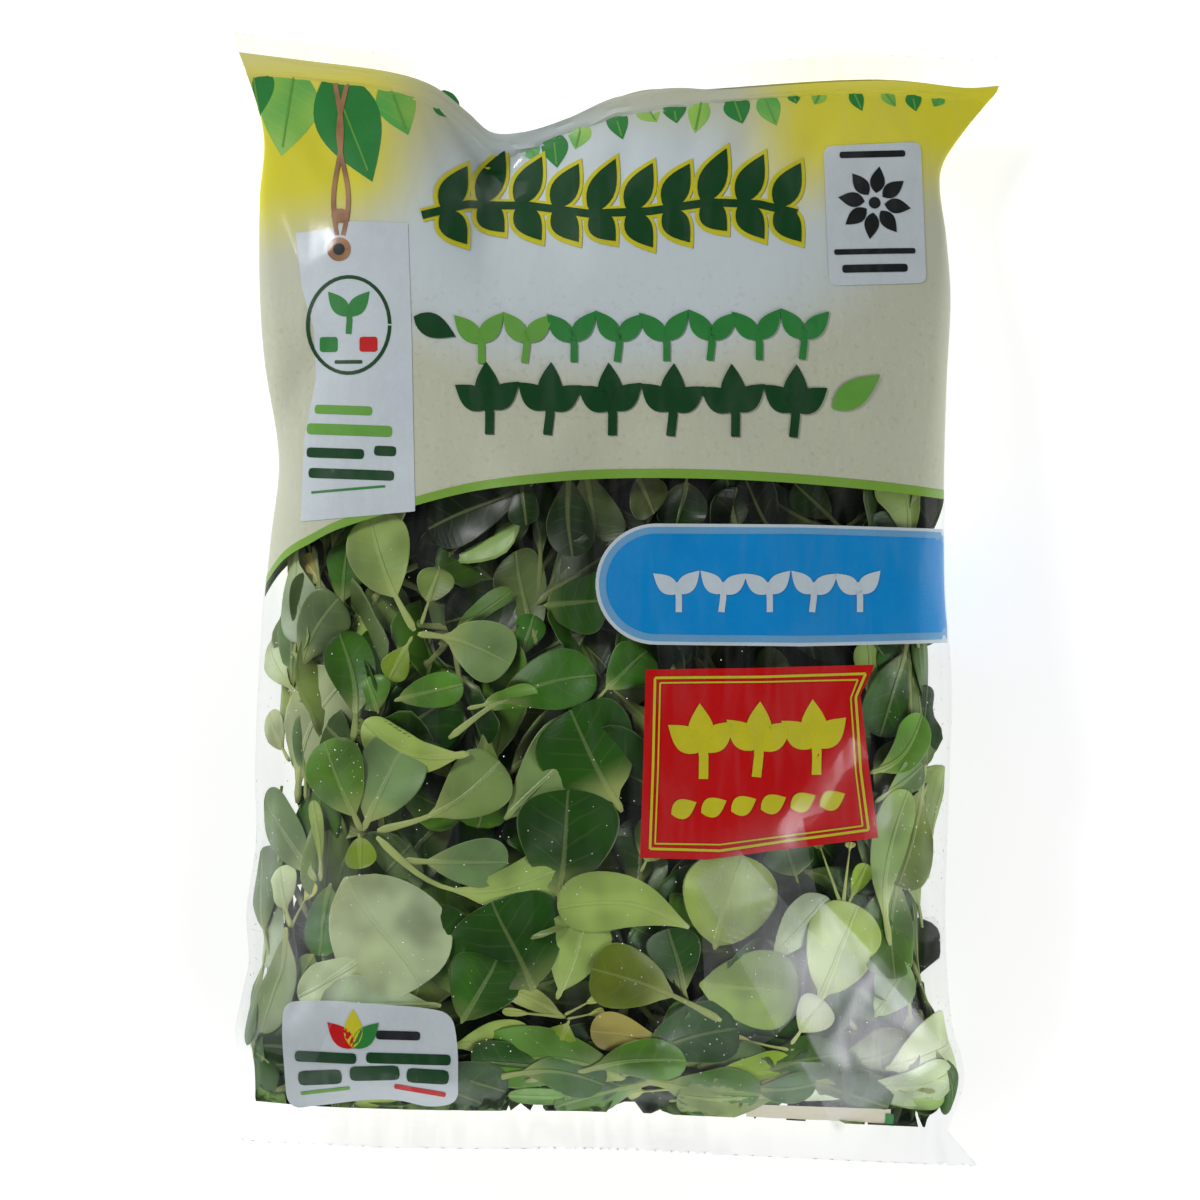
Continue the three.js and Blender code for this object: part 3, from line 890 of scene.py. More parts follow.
def make_front_print():
    white, blue, sky, red, gold, green, dark, lime, pale, black, copper, cream, head_leaves = (
        Patches() for _ in range(13)
    )
    on_top, upper, label, under = 0.1, 0.17, 0.26, 0.33

    # the hang tag, its eyelet and its two strands of twine
    white.add([
        (297, 233), (330, 230), (352, 222), (410, 224), (414, 330), (418, 512), (360, 517), (303, 522),
        (306, 440), (318, 380), (316, 330), (304, 290),
    ], label)
    copper.add(ring_outline(341, 250, 12, 12, 6), upper, 1.2)
    black.add(oval(341, 250, 6, 6, 16), upper, 1.2)
    for start, sway in ((339, -4), (345, 5)):
        strand = [(start + sway * math.sin(2.4 * math.pi * s), 236 - s * 166) for s in np.linspace(0, 1, 30)]
        copper.add(ribbon(strand, 4.6), upper, 1.5)
    copper.add(oval(342, 216, 9, 7, 14), on_top, 1.4)

    # a round badge on the tag: a ring, a sprout, and two fields of colour below it
    dark.add(ring_outline(351, 326, 43, 50, 3.6), upper, 1.3)
    sprout(green, 351, 312, 46, upper)
    for x0, x1, patches in ((322, 340, green), (362, 380, red)):
        patches.add(rounded([(x0, 338), (x1, 338), (x1, 353), (x0, 353)], 3, 4), upper)
    bars(dark, [(351, 363, 28, 3.6, 0)], upper)
    bars(lime, [(346, 411, 58, 9, 0.04), (352, 431, 86, 11, 0.04)], upper)
    bars(dark, [(338, 454, 58, 10, 0.04), (388, 452, 22, 10, 0.04), (354, 475, 86, 10, 0.04)], upper)
    green.add(ribbon([(314, 493), (350, 490), (388, 487)], 2.4), upper)

    # the white plate at the upper right, with a small flower of leaves
    white.add(rounded([(825, 146), (923, 141), (928, 283), (830, 287)], 9), label)
    for i in range(8):
        a = math.radians(45 * i + 8)
        near, far = ((876 + r * math.cos(a), 203 + r * math.sin(a)) for r in (10, 37))
        black.add(leaf_outline(near, far, 15), upper)
    black.add(oval(876, 203, 6, 6, 14), upper, 1.2)
    bars(black, [(876, 252, 82, 5.5, -0.03), (876, 269, 66, 8, -0.03), (874, 154, 66, 6.5, -0.03)], upper)

    # a long spray of leaves in dark green, edged with yellow
    stem = [(424, 216), (470, 204), (530, 205), (590, 214), (650, 212), (710, 203), (760, 205), (798, 214)]
    gold.add(ribbon(stem, 14), 0.24)
    dark.add(ribbon(stem, 8), on_top)
    for i, x in enumerate(range(444, 786, 37)):
        foot_y = float(np.interp(x, [p[0] for p in stem], [p[1] for p in stem]))
        for side in (-1, 1):
            reach = (46, 56, 50)[i % 3] if side < 0 else (34, 28, 36)[i % 3]
            tip = (x + 25, foot_y + side * reach)
            edge_tip = (x + 28, foot_y + side * (reach + 6))
            gold.add(leaf_outline((x - 3, foot_y - side * 4), edge_tip, 35), 0.22)
            dark.add(leaf_outline((x, foot_y), tip, 27), on_top)

    # two rows of sprouts under it, and a small leaf at each end
    for i in range(8):
        x = 482 + 46 * i
        sprout(lime if i < 2 else green, x, 336 - 0.012 * (x - 640), 54, on_top, 0.06 * (-1) ** i)
    three_leaves = ((-0.85, 0.8), (0.0, 1.05), (0.85, 0.8))
    for i in range(6):
        x = 490 + 61 * i
        sprout(dark, x, 403 + 0.01 * (x - 640), 68, on_top, 0.05 * (-1) ** i, three_leaves)
    dark.add(leaf_outline((416, 318), (458, 338), 24), on_top)
    lime.add(leaf_outline((832, 410), (881, 376), 27), on_top)

    # leaves that hang into the head from its upper edge
    hanging = [(252, 8, 56, 40), (296, -14, 90, 60), (330, 44, 112, 66), (388, 22, 58, 40), (436, 26, 26, 26)]
    for i, x in enumerate(range(524, 950, 30)):
        size = 1 if x < 770 else 0.6
        hanging.append((x, (14, 4, -8, 10)[i % 4], (26, 38, 30, 34, 22)[i % 5] * size, (22, 27, 24)[i % 3] * size))
    for i, (x, dx, dy, width) in enumerate(hanging):
        y = float(through(PRINT_TOP, x)) + 7
        grown = leaf_outline((x, y), (x + dx, y + dy), width, 15)
        (green, head_leaves)[i % 2].add(grown, under + 0.03 * (i % 2))
        lime.add(ribbon([(x + dx * s, y + dy * s) for s in np.linspace(0.02, 0.9, 8)], 1.8), 0.25)

    # the blue band that runs round the right edge
    def band(inset, far):
        left = arc(657, 584, 60 - inset, 60 - inset, 90, 270, 26)
        top, low = 0.9 * inset, -inset
        return left + [(800, 525 + top), (far, 531 + top), (far, 641 + low), (800, 646 + low)]

    for inset, depth, patches in ((0, 0.36, pale), (3.5, 0.3, sky), (10.5, 0.24, blue)):
        patches.add(band(inset, 1010), depth)
    for i in range(5):
        sprout(pale, 678 + 45 * i, 588, 48, on_top, 0.06 * (-1) ** i, ((-0.75, 0.9), (0.75, 0.9)))

    # the red label with its double frame
    red.add([
        (647, 669), (760, 667), (874, 664), (867, 680), (860, 694), (869, 770), (878, 836), (792, 846), (707, 857),
        (641, 855), (644, 762),
    ], label)
    outer_line = [
        (656, 677), (762, 676), (865, 673), (855, 696), (860, 770), (868, 828), (790, 838), (720, 848), (651, 846),
        (654, 762),
    ]
    inner_line = [
        (661, 682), (762, 681), (857, 679), (850, 697), (855, 770), (862, 824), (790, 833), (720, 842), (656, 841),
        (659, 762),
    ]
    for loop, width in ((outer_line, 2.6), (inner_line, 1.6)):
        for a, b in zip(loop, loop[1:] + loop[:1]):
            gold.add(ribbon([a, ((a[0] + b[0]) / 2, (a[1] + b[1]) / 2), b], width), on_top)
    for i in range(3):
        sprout(gold, 702 + 56 * i, 741 - 2 * i, 72, on_top, 0.05 * (-1) ** i, ((-0.8, 0.8), (0.0, 1.0), (0.8, 0.8)))
    for i in range(6):
        x = 684 + 29.5 * i
        gold.add(leaf_outline((x - 12, 812 - 1.6 * i), (x + 13, 800 - 1.6 * i), 20), on_top)

    # the white label at the foot, with two coloured lines
    white.add(rounded([
        (288, 1111), (284, 1030), (286, 1000), (330, 998), (420, 1004), (455, 1010), (460, 1045), (460, 1104),
        (431, 1109), (400, 1100), (370, 1100), (327, 1106),
    ], 17, 6), label + 0.04, 1.3)
    for patches, tip in ((red, (330, 1020)), (gold, (356, 1006)), (green, (382, 1020))):
        patches.add(leaf_outline((356, 1046), tip, 19), upper, 1.3)
    bars(black, [(401, 1033, 44, 9, 0.03)], upper)
    bars(dark, [
        (328, 1056, 62, 11, 0.03), (411, 1057, 84, 11, 0.03), (322, 1077, 44, 15, -0.06), (377, 1072, 50, 15, -0.03),
        (430, 1075, 42, 15, 0.06),
    ], upper)
    bars(lime, [(327, 1091, 50, 3.4, -0.13)], upper)
    bars(red, [(422, 1090, 52, 5, 0.18)], upper)

    # the cream end of the back seam, which shows under the last leaves
    cream.add([(748, 1108), (893, 1114), (893, 1129), (748, 1121)], 1.3)
    green.add([(888, 1118), (896, 1119), (896, 1130), (888, 1129)], 1.1)

    for patches, name, title, first, second, grain in (
        (white, "white_labels", "label white", (211, 221, 226), (196, 208, 214), 0.3),
        (blue, "blue_band", "band blue", (0, 144, 220), (6, 152, 226), 0.2),
        (sky, "blue_band_edge", "edge blue", (110, 171, 216), None, 0.2),
        (red, "red_marks", "label red", (206, 10, 14), (188, 6, 10), 0.2),
        (gold, "yellow_marks", "mark yellow", (214, 206, 40), (190, 190, 30), 0.4),
        (green, "green_marks", "mark green", (50, 138, 64), (36, 120, 50), 0.35),
        (dark, "dark_green_marks", "mark dark green", (14, 70, 30), (8, 56, 24), 0.35),
        (lime, "light_green_marks", "mark light green", (110, 172, 70), (94, 160, 58), 0.35),
        (pale, "pale_marks", "mark pale grey", (208, 222, 230), (190, 206, 216), 0.3),
        (black, "charcoal_marks", "mark charcoal", (26, 30, 30), (44, 50, 50), 0.3),
        (copper, "twine_marks", "twine brown", (178, 132, 92), (122, 84, 56), 0.7),
        (cream, "seam_end", "seam cream", (226, 220, 196), (210, 202, 174), 0.2),
    ):
        patches.piece(name, ink(title, first, second, grain))
    head_leaves.piece("head_leaves", leaf_ink())


def ring_outline(cx, cy, rx, ry, width):
    """A ring as one outline, cut open by a hair at its right side."""
    outer = arc(cx, cy, rx, ry, 1, 359, 44)
    inner = arc(cx, cy, rx - width, ry - width, 359, 1, 44)
    return outer + inner


def make_back_panel():
    """The plain panel on the back, with a green edge."""
    middle = across_of(-np.pi / 2)
    panel, edge = Patches(), Patches()
    low, high, half = -134, BACK_BORDER_Y - 3, 76
    for patches, inset, depth in ((edge, 0, 0.62), (panel, 3, 0.42)):
        side = half - inset
        loop = dense(np.array([(-side, low), (side, low), (side, high), (-side, high)], float), 2.5)
        patches.add_round(loop + (middle, 0), depth, 2.5)
    edge.piece("back_panel_edge", ink("panel green", (112, 172, 66)))
    panel.piece("back_panel", ink("panel cream", (224, 218, 192), (206, 200, 172)))


# ---------------------------------------------------------------- the leaves

LOOKS = {  # upper side, underside; the shade look is a leaf's colour painted darker, as painted shade
    "dark": ((30, 76, 6), (90, 126, 54)),
    "green": ((56, 108, 26), (106, 142, 70)),
    "fresh": ((88, 138, 44), (122, 156, 76)),
    "lime": ((130, 162, 42), (148, 176, 80)),
    "olive": ((98, 116, 26), (136, 148, 72)),
    "grey": ((112, 140, 92), (80, 116, 60)),
    "shade": ((60, 92, 40), (52, 84, 34)),
    "pale": ((146, 174, 100), (80, 122, 48)),
    "palest": ((182, 200, 170), (112, 146, 90)),
    "straw": ((172, 182, 106), (150, 160, 92)),
    "tan": ((166, 156, 92), (132, 140, 78)),
}
FILM_GAP = 0.95  # the least room between a leaf and the film
LEAF_THICKNESS = 0.34

# Leaves that show against the film, as they lie on the sheet: x and y of the foot and of the tip, width,
# look, depth below the film, and where it matters stalk, roll, cup, fold, bend, arch or wave
SHOWN_LEAVES = """\
417 629 371 515 64 pale 2 stalk=.34 bend=.04
423 623 441 567 40 pale 2.3 stalk=.4
420 632 514 662 60 grey 2.8 stalk=.3 bend=.06
415 634 390 677 36 lime 2.6 stalk=.22
536 476 427 528 64 dark 4.2 stalk=.1
318 592 290 556 26 tan 5
334 606 344 540 62 green 6 stalk=.1
398 656 338 610 46 dark 8
286 656 300 572 30 grey 3.5 roll=40
334 668 282 648 40 pale 5 cup=.2
352 740 337 632 50 green 3 roll=24 bend=-.08
378 716 362 676 52 fresh 3.4 stalk=.1
396 702 462 682 38 fresh 3.2 stalk=.1 fold=.3
450 738 596 672 62 green 2.4 stalk=.42 bend=.08
440 642 514 590 26 fresh 4.6 roll=40
508 604 424 574 46 shade 9 cup=.3
520 466 527 528 42 green 3 fold=.6 stalk=.1
572 470 576 557 45 green 3.2 stalk=.1 cup=.2
588 464 602 547 54 pale 4 stalk=.1
630 466 656 509 42 pale 4 fold=.4
690 470 682 524 52 green 5 cup=.3
540 642 516 556 50 grey 6 stalk=.12
546 602 608 598 60 green 5 stalk=.05
518 668 536 610 38 green 6
596 702 648 648 54 green 4 wave=.25
850 530 908 486 44 dark 5 cup=.3
852 532 800 482 38 green 5 stalk=.3
846 532 756 492 36 dark 6 stalk=.35
740 540 726 478 44 green 6
884 540 930 500 34 dark 7
471 753 364 722 56 pale 1.6 stalk=.12 roll=-38 bend=.14 cup=.2
362 830 324 740 68 fresh 1.7 stalk=.2 cup=.12
363 830 410 737 70 grey 2 stalk=.14 cup=-.1
378 830 502 760 68 grey 2.2 stalk=.42 bend=-.1
360 832 362 867 31 lime 1.5 stalk=.12
346 876 424 984 122 palest 1.1 stalk=.03 cup=-.12 fold=.05
377 836 576 862 50 pale 2.3 stalk=.5 bend=-.2 fold=.35
404 858 509 862 50 grey 3 cup=.4 arch=.08
316 879 260 796 58 grey 1.5 stalk=.1
320 880 311 800 18 pale 2 fold=.5
300 800 301 711 28 grey 3.4 roll=30
362 762 308 714 46 shade 5
468 708 542 694 30 fresh 2.1 roll=36
504 818 600 726 76 grey 3.8 stalk=.05 fold=.3
623 811 570 710 94 dark 2.4 stalk=.16 fold=.18
560 908 570 788 104 dark 2.3 stalk=.12
690 926 558 906 66 pale 1.3 stalk=.05 arch=.03 bend=-.12
536 990 494 900 112 dark 1.5 stalk=.04 cup=-.2
456 998 432 906 70 dark 2.3 stalk=.05
462 1024 499 956 80 green 1.1 stalk=.05 cup=-.2 fold=.1
559 999 587 914 66 pale 1.8 stalk=.12 fold=.25
565 1018 510 986 22 straw 2.6 stalk=.1
567 1018 506 1014 9 straw 2.4 stalk=.6
566 1016 604 996 9 straw 2.6 stalk=.6
568 1020 606 1012 9 straw 2.8 stalk=.6
571 1019 558 1054 38 lime .95 stalk=.12
722 1020 593 968 64 olive 1 stalk=.42 bend=-.05
690 1012 670 928 52 dark 2.6
664 1038 592 1030 44 tan 1.5 stalk=.05
658 1032 692 1010 28 fresh 2.4
674 1034 608 1080 30 dark 2.4 roll=44 bend=.12
616 1088 738 1028 70 dark 1.35 stalk=.3 bend=.1
453 1048 535 1035 38 pale 1.4 stalk=.08
634 1090 482 1070 66 fresh .9 stalk=.12 bend=-.14
612 1104 510 1100 18 fresh .9 stalk=.05
680 1096 628 1102 16 straw 2.2 stalk=.7
670 1108 716 1102 22 green 1.6
604 938 622 914 16 green 3.6 wave=.4
714 948 744 853 94 pale 1.35 stalk=.06
774 958 828 896 54 palest 1.8 stalk=.05 roll=16
820 1002 860 904 74 pale 1.2 stalk=.1
700 984 800 991 78 pale 1.5 stalk=.03
792 1043 826 1000 38 palest 1 stalk=.34
790 1050 724 1040 13 straw 2.2 stalk=.6
792 1050 864 1068 26 green 2 stalk=.2
878 1016 912 963 52 grey 1.6 stalk=.05
894 944 912 790 52 pale 1.2 stalk=.2 bend=.1
845 907 820 840 13 straw 2 stalk=.9
846 907 853 840 12 straw 1.9 stalk=.9
852 902 870 862 22 lime 1.8 stalk=.2
800 884 790 844 48 shade 4
868 884 882 798 42 dark 3.4
886 970 891 916 22 dark 2.2
888 1072 964 1036 72 palest 1.6 stalk=.05 cup=.2
864 1088 958 1070 46 palest 1 stalk=.06 bend=-.1
864 1100 948 1106 26 pale .95 stalk=.05
722 1072 798 1064 42 lime 1.3 stalk=.03 bend=-.08
852 1100 788 1078 38 palest 1.15 stalk=.05
846 1102 858 1072 22 olive 1.6
688 1106 786 1104 24 green 1.1 stalk=.05
878 706 872 640 36 pale 4
888 714 899 638 32 green 3.4
876 692 904 712 9 straw 2.4 stalk=.7
872 772 928 714 54 fresh 2 stalk=.12 bend=-.14 cup=.3
878 802 930 764 40 grey 2.2 cup=.2
884 868 870 792 34 dark 3
442 1006 320 1002 60 palest 1.6 stalk=.1
364 956 298 998 48 palest 2 stalk=.05
286 926 260 1034 58 grey 1.2 stalk=.12
331 882 320 956 42 green 2 stalk=.05
318 944 291 987 34 grey 2.6
288 926 271 880 16 straw 2.4 stalk=.6
289 926 313 882 16 straw 2.6 stalk=.6
290 924 276 866 42 palest 1.8 stalk=.3
260 1098 342 1088 26 green 1.2
252 1068 262 998 36 palest 1.6
434 1098 350 1102 24 pale 1.2
462 1102 490 1064 40 dark 3
300 700 262 640 34 palest 2.4 roll=30
286 760 262 712 30 palest 2.2 roll=20
640 870 662 820 44 shade 6
900 1110 930 1060 40 pale 3
748 1112 800 1090 34 dark 3.4
"""


def halves(quads):
    """Each four-sided face as two triangles."""
    return [t for a, b, c, d in quads for t in ((a, b, c), (a, c, d))]


class Leaves:
    """Leaves gathered into one piece: thin closed solids that follow the film from inside."""

    def __init__(self, rows, columns):
        u = np.sin(np.linspace(0, 1, rows + 1) ** 1.15 * np.pi / 2)  # closest together at the round tip
        v = np.sin(np.linspace(-np.pi / 2, np.pi / 2, columns + 1))
        self.u, self.v = (a.T.ravel() for a in np.meshgrid(u, v))
        side = columns + 1
        count = (rows + 1) * side
        quads = [
            (i * side + j, i * side + j + 1, (i + 1) * side + j + 1, (i + 1) * side + j)
            for i in range(rows) for j in range(columns)
        ]
        top = halves(quads)
        bottom = [tuple(i + count for i in t[::-1]) for t in top]
        self.leaf_faces = np.array(top + bottom + halves(rim_faces([list(t) for t in top], count)))
        self.count = count
        self.flat, self.tints, self.places, self.faces = [], [], [], []

    def add(self, foot, tip, width, look, depth, rnd, shade, stalk=0.25, roll=0.0, cup=None, fold=None, bend=0.0,
            arch=None, wave=0.14, tilt=0.0, calm=1.0):
        """foot and tip are across and y on the film; depth is below it. A small calm flattens the leaf. shade is
        painted light and shade, multiplied into the leaf's colour.
        """
        foot, tip = np.array(foot, float), np.array(tip, float)
        small = min(1, 12 / width)  # a broad leaf is flatter
        cup = rnd.uniform(-0.26, 0.05) * small if cup is None else cup
        fold = rnd.uniform(0.03, 0.24) * small if fold is None else fold
        arch = rnd.uniform(-0.03, 0.04) if arch is None else arch
        u, v = self.u, self.v
        way = tip - foot
        length = max(np.hypot(*way), 1e-3)
        along, beside = way / length, np.array([-way[1], way[0]]) / length
        s = np.clip((u - stalk) / (1 - stalk), 0, 1)
        blade = s ** rnd.uniform(0.5, 0.8) * np.sqrt(np.maximum(1 - s ** rnd.uniform(2.8, 3.8), 0)) / 0.66
        stem = (0.7 + 0.7 * np.exp(-u * 7)) * np.clip(length / 30, 0.35, 1)
        stem = stem * np.sqrt(np.clip(1.02 - u, 0, 1)) * np.sqrt(np.clip(0.1 + u * 12, 0, 1))  # narrow at both ends
        half = np.hypot(width / 2 * blade, stem)
        half = np.maximum(half, 0.09)
        bow = np.sin(np.pi * u) * bend * length
        slope = np.pi * np.cos(np.pi * u) * bend
        turn = np.arctan(slope)
        way_u = np.cos(turn)[:, None] * along + np.sin(turn)[:, None] * beside
        side_u = -np.sin(turn)[:, None] * along + np.cos(turn)[:, None] * beside
        middle = foot + np.outer(u * length, along) + np.outer(bow, beside)
        lean = math.radians(roll) * np.clip(s * 3, 0, 1)
        reach = v * half
        phase = rnd.uniform(0, 6.28)
        lift = calm * (
            arch * length * np.sin(np.pi * u) + tilt * length * u + cup * half * v * v - fold * half * np.abs(v)
            + wave * half * np.abs(v) ** 2 * np.sin(u * rnd.uniform(7, 13) + phase + 2.2 * v)
        ) - 0.25 * np.exp(-((reach / 1.1) ** 2))
        width_way = reach * np.cos(lean) - lift * np.sin(lean)
        height = lift * np.cos(lean) + reach * np.sin(lean)
        to_edge = 0.35 + 0.65 * np.sqrt(1 - np.minimum(np.abs(v), 0.98) ** 2)
        thin = LEAF_THICKNESS * to_edge * (1 + 1.4 * np.exp(-((reach / 0.9) ** 2)) * (1 - 0.7 * u))
        top_tint, under_tint = (np.array(paint(*c)) for c in LOOKS[look])
        warm = rnd.uniform(-0.07, 0.07)
        # shade scales the whole leaf's colour: painted light and shade for where the leaf lies
        vary = np.array([1 + warm, 1, 0.82 - 1.5 * warm]) * rnd.uniform(0.86, 1.14) * shade
        straw = np.array(paint(166, 180, 108))
        to_stalk = np.clip(1 - s * 3.2, 0, 1)[:, None] * (0.75 if stalk > 0.08 else 0.4)
        for sign, tint in ((1, top_tint * vary), (-1, under_tint * vary)):
            shift = sign * thin / 2
            flat = middle + side_u * (width_way - shift * np.sin(lean))[:, None]
            self.flat.append(np.column_stack([flat, height + shift * np.cos(lean) - depth]))
            colour = tint * (1 - to_stalk) + straw * shade * to_stalk
            self.tints.append(np.column_stack([np.clip(colour, 0, 1), np.full(self.count, rnd.random())]))
            self.places.append(np.column_stack([u, v, half]))
        self.faces.append(self.leaf_faces + 2 * self.count * len(self.faces))

    def layers(self):
        tints, places = np.concatenate(self.tints), np.concatenate(self.places)
        return [("tint", "FLOAT_COLOR", tints), ("place", "FLOAT_VECTOR", places)]

    def piece(self, name, material):
        across, y, height = np.concatenate(self.flat).T
        below = np.logaddexp(0, (-height - FILM_GAP) / 0.5) * 0.5 + FILM_GAP
        points = keep_inside(lay(across, y, below))
        make_piece(name, points, np.concatenate(self.faces), material, "leaf", self.layers())


def to_film(x, y):
    """From the sheet to across and y."""
    px, py = sheet(x, y)
    return float(across_at(np.array([px]), np.array([py]))[0]), float(py)


def painted_light_at(x, y):
    """The painted light and shade in the leaves' colour at a place in plan: the ones under the print's edge are
    painted in its shade, the left side a little darker and the lower right lighter.
    """
    under_print = ease(y, -18, 14) * ease(x, -60, -34)
    left_painted_shade = ease(-x, 45, 75) * ease(y, -80, -50)
    lower_right_painted_light = ease(x, 15, 55) * ease(-y, 60, 90)
    return float((1 - 0.8 * under_print) * (1 - 0.2 * left_painted_shade + 0.3 * lower_right_painted_light))


SHOWN_LIGHT, SHOWN_CALM, SHOWN_DEPTH = 1.32, 0.35, 0.3  # times the colour, as painted light; times the lift; added depth


def make_shown_leaves(material):
    rnd = random.Random(7)
    leaves = Leaves(20, 10)
    for row in SHOWN_LEAVES.splitlines():
        words = row.split()
        x0, y0, x1, y1, width = map(float, words[:5])
        look, depth = words[5], float(words[6]) + SHOWN_DEPTH
        shape = {key: float(value) for key, value in (word.split("=") for word in words[7:])}
        light = SHOWN_LIGHT * painted_light_at(*sheet((x0 + x1) / 2, (y0 + y1) / 2))
        leaves.add(
            to_film(x0, y0), to_film(x1, y1), width * SHEET_STEP, look, depth, rnd, light, calm=SHOWN_CALM, **shape,
        )
    leaves.piece("shown_leaves", material)


LEAF_ENDS = (-136, 58)  # no tip lies past these heights
ALL_ROLLS, FLAT_ROLLS, FOOT_ROLLS = (0, 0, 12, -15, 26, -30, 50), (0, 8, -10, 16), (0, 10, -12)


def loose_leaf(leaves, rnd, foot, way, length, depth, looks, shade, reach, rolls=ALL_ROLLS, widest=24):
    """A leaf of a random form that grows from foot in the direction way, within reach across the bag."""
    spot = (foot[0] + length * math.cos(way), foot[1] + length * math.sin(way))
    tip = [min(max(v, low), high) for v, (low, high) in zip(spot, (reach, LEAF_ENDS))]
    stalk = rnd.uniform(0.15, 0.4)
    leaves.add(
        foot, tip, min(length * (1 - stalk) * rnd.uniform(0.62, 0.86), widest), rnd.choice(looks), depth, rnd, shade,
        stalk=stalk, roll=rnd.choice(rolls), bend=rnd.uniform(-0.12, 0.12), wave=rnd.uniform(0.06, 0.2),
        tilt=rnd.uniform(-0.12, 0.12),
    )


FILL_REACH = (-116, 50)  # the heights between which the rosettes grow


def make_fill_leaves(material):
    """Rosettes behind the shown leaves, and all along the sides and under the back. Their colour is painted darker
    the deeper their zone lies, as painted shade, and lighter towards the left, as painted light.
    """
    greens = ("dark", "dark", "green", "green", "fresh", "pale", "grey", "shade")
    # each zone: name, reach across, depths, painted shade that scales its colour, pitch
    zones = (
        ("upper_leaves", (ACROSS_LEFT + 14, ACROSS_RIGHT - 14), (5.5, 9), 0.78, 27),
        ("middle_leaves", (ACROSS_LEFT + 18, ACROSS_RIGHT - 18), (11, 15), 0.36, 25),
        ("side_leaves", (ACROSS_RIGHT + 12, GIRTH / 2 + 4), (1.5, 5), 1.0, 24),
        ("far_side_leaves", (-GIRTH / 2 - 4, ACROSS_LEFT - 12), (1.5, 5), 1.0, 24),
    )
    for number, (name, (low, high), depths, shade, pitch) in enumerate(zones):
        rnd = random.Random(40 + number)
        leaves = Leaves(11, 6)
        for across in np.arange(low, high, pitch):
            for y in np.arange(*FILL_REACH, pitch):
                foot = (across + rnd.uniform(0, 0.9) * pitch, y + rnd.uniform(-0.5, 0.5) * pitch)
                start, count = rnd.uniform(0, 6.28), rnd.choice((4, 5))
                # painted light and shade in the colour: the zone's shade, the place's, and lighter towards the left
                light = shade * painted_light_at(*foot) * (1 + 0.4 * float(ease(-foot[0], 15, 55)))
                for i in range(count):
                    way = start + 6.28 * (i + rnd.uniform(-0.3, 0.3)) / count
                    depth = rnd.uniform(*depths) + rnd.uniform(0, 3)
                    loose_leaf(leaves, rnd, foot, way, rnd.uniform(22, 44), depth, greens, light, (low, high))
        leaves.piece(name, material)


def make_edge_leaves(material):
    """Whole leaves that lie along both sides of the bag and along its foot."""
    rnd = random.Random(23)
    leaves = Leaves(16, 8)
    sides = ((ACROSS_LEFT, ("grey", "pale", "green", "palest")), (ACROSS_RIGHT, ("green", "pale", "dark", "fresh")))
    for edge, looks in sides:
        inward = -math.copysign(1, edge)
        for layer, depth in ((0, 3), (1, 5.5)):
            for y in np.arange(-112 + 6 * layer, 30, 12):
                foot = (edge + inward * rnd.uniform(7, 22), y + rnd.uniform(-4, 4))
                way = math.pi / 2 * rnd.choice((-1, 1, 1)) + rnd.uniform(-0.5, 0.5)
                reach = sorted((edge + inward * 3, edge + inward * 60))
                # the second layer is painted darker: painted shade
                length, light = rnd.uniform(28, 42), 0.95 - 0.32 * layer
                loose_leaf(leaves, rnd, foot, way, length, depth + rnd.uniform(0, 1), looks, light, reach, FLAT_ROLLS)
    looks = ("green", "dark", "fresh", "green", "dark", "pale")
    for layer, depth in ((0, 0.6), (1, 2.4), (2, 5)):
        for across in np.arange(-90 + 4 * layer, 92, 10):
            y = -128.3 + float(through(FOOT_LINE, across / 92)) + 1.5 * layer
            foot = (across, y + rnd.uniform(-1.5, 1.5))
            way = rnd.choice((0, math.pi)) + rnd.uniform(-0.3, 0.3)
            # each deeper row is painted darker: painted shade
            light, length = 1.05 - 0.3 * layer, rnd.uniform(24, 34)
            lower = depth + rnd.uniform(0, 1)
            loose_leaf(leaves, rnd, foot, way, length, lower, looks, light, (-94, 94), FOOT_ROLLS, 13)
    leaves.piece("edge_leaves", material)


# ---------------------------------------------------------------- pieces grown by Geometry Nodes


class Tree:
    """A Geometry Nodes tree with named inputs."""

    def __init__(self, name):
        self.tree = bpy.data.node_groups.new(name, "GeometryNodeTree")
        self.tree.interface.new_socket("Geometry", in_out="INPUT", socket_type="NodeSocketGeometry")
        self.tree.interface.new_socket("Geometry", in_out="OUTPUT", socket_type="NodeSocketGeometry")
        self.entry, self.exit = self.tree.nodes.new("NodeGroupInput"), self.tree.nodes.new("NodeGroupOutput")
        self.settings = {}

    def setting(self, name, kind, value):
        socket = self.tree.interface.new_socket(name, in_out="INPUT", socket_type=kind)
        self.settings[socket.identifier] = value
        return self.entry.outputs[name]

    def add(self, kind, settings=None, inputs=None):
        return add_node(self.tree, kind, settings, inputs)

    def grow(self, carrier, placed, material, name, slot):
        """Runs the tree on a carrier object and keeps the placed instances as a plain mesh."""
        real = self.add("GeometryNodeRealizeInstances", {}, {"Geometry": placed.outputs[0]})
        coated = self.add("GeometryNodeSetMaterial", {}, {"Geometry": real.outputs[0], "Material": material})
        self.tree.links.new(coated.outputs[0], self.exit.inputs[0])
        modifier = carrier.modifiers.new("grow", "NODES")
        modifier.node_group = self.tree
        for identifier, value in self.settings.items():
            modifier[identifier] = value
        bpy.context.view_layer.update()
        evaluated = carrier.evaluated_get(bpy.context.evaluated_depsgraph_get())
        mesh = bpy.data.meshes.new_from_object(evaluated)
        mesh.name = name
        piece = place_object(name, mesh)
        carrier.modifiers.remove(modifier)
        bpy.data.objects.remove(carrier)
        finish_piece(piece)
        shade_smooth(mesh)
        return piece


# ROSETTE_SHADE darkens the rosettes' colour: painted shade for the middle of the bag
ROSETTE_SIZE, ROSETTE_PITCH, ROSETTE_LEAVES, ROSETTE_SHADE = 0.68, 18, 6, 0.3
ROSETTE_HEIGHTS = (15, 21, 27)


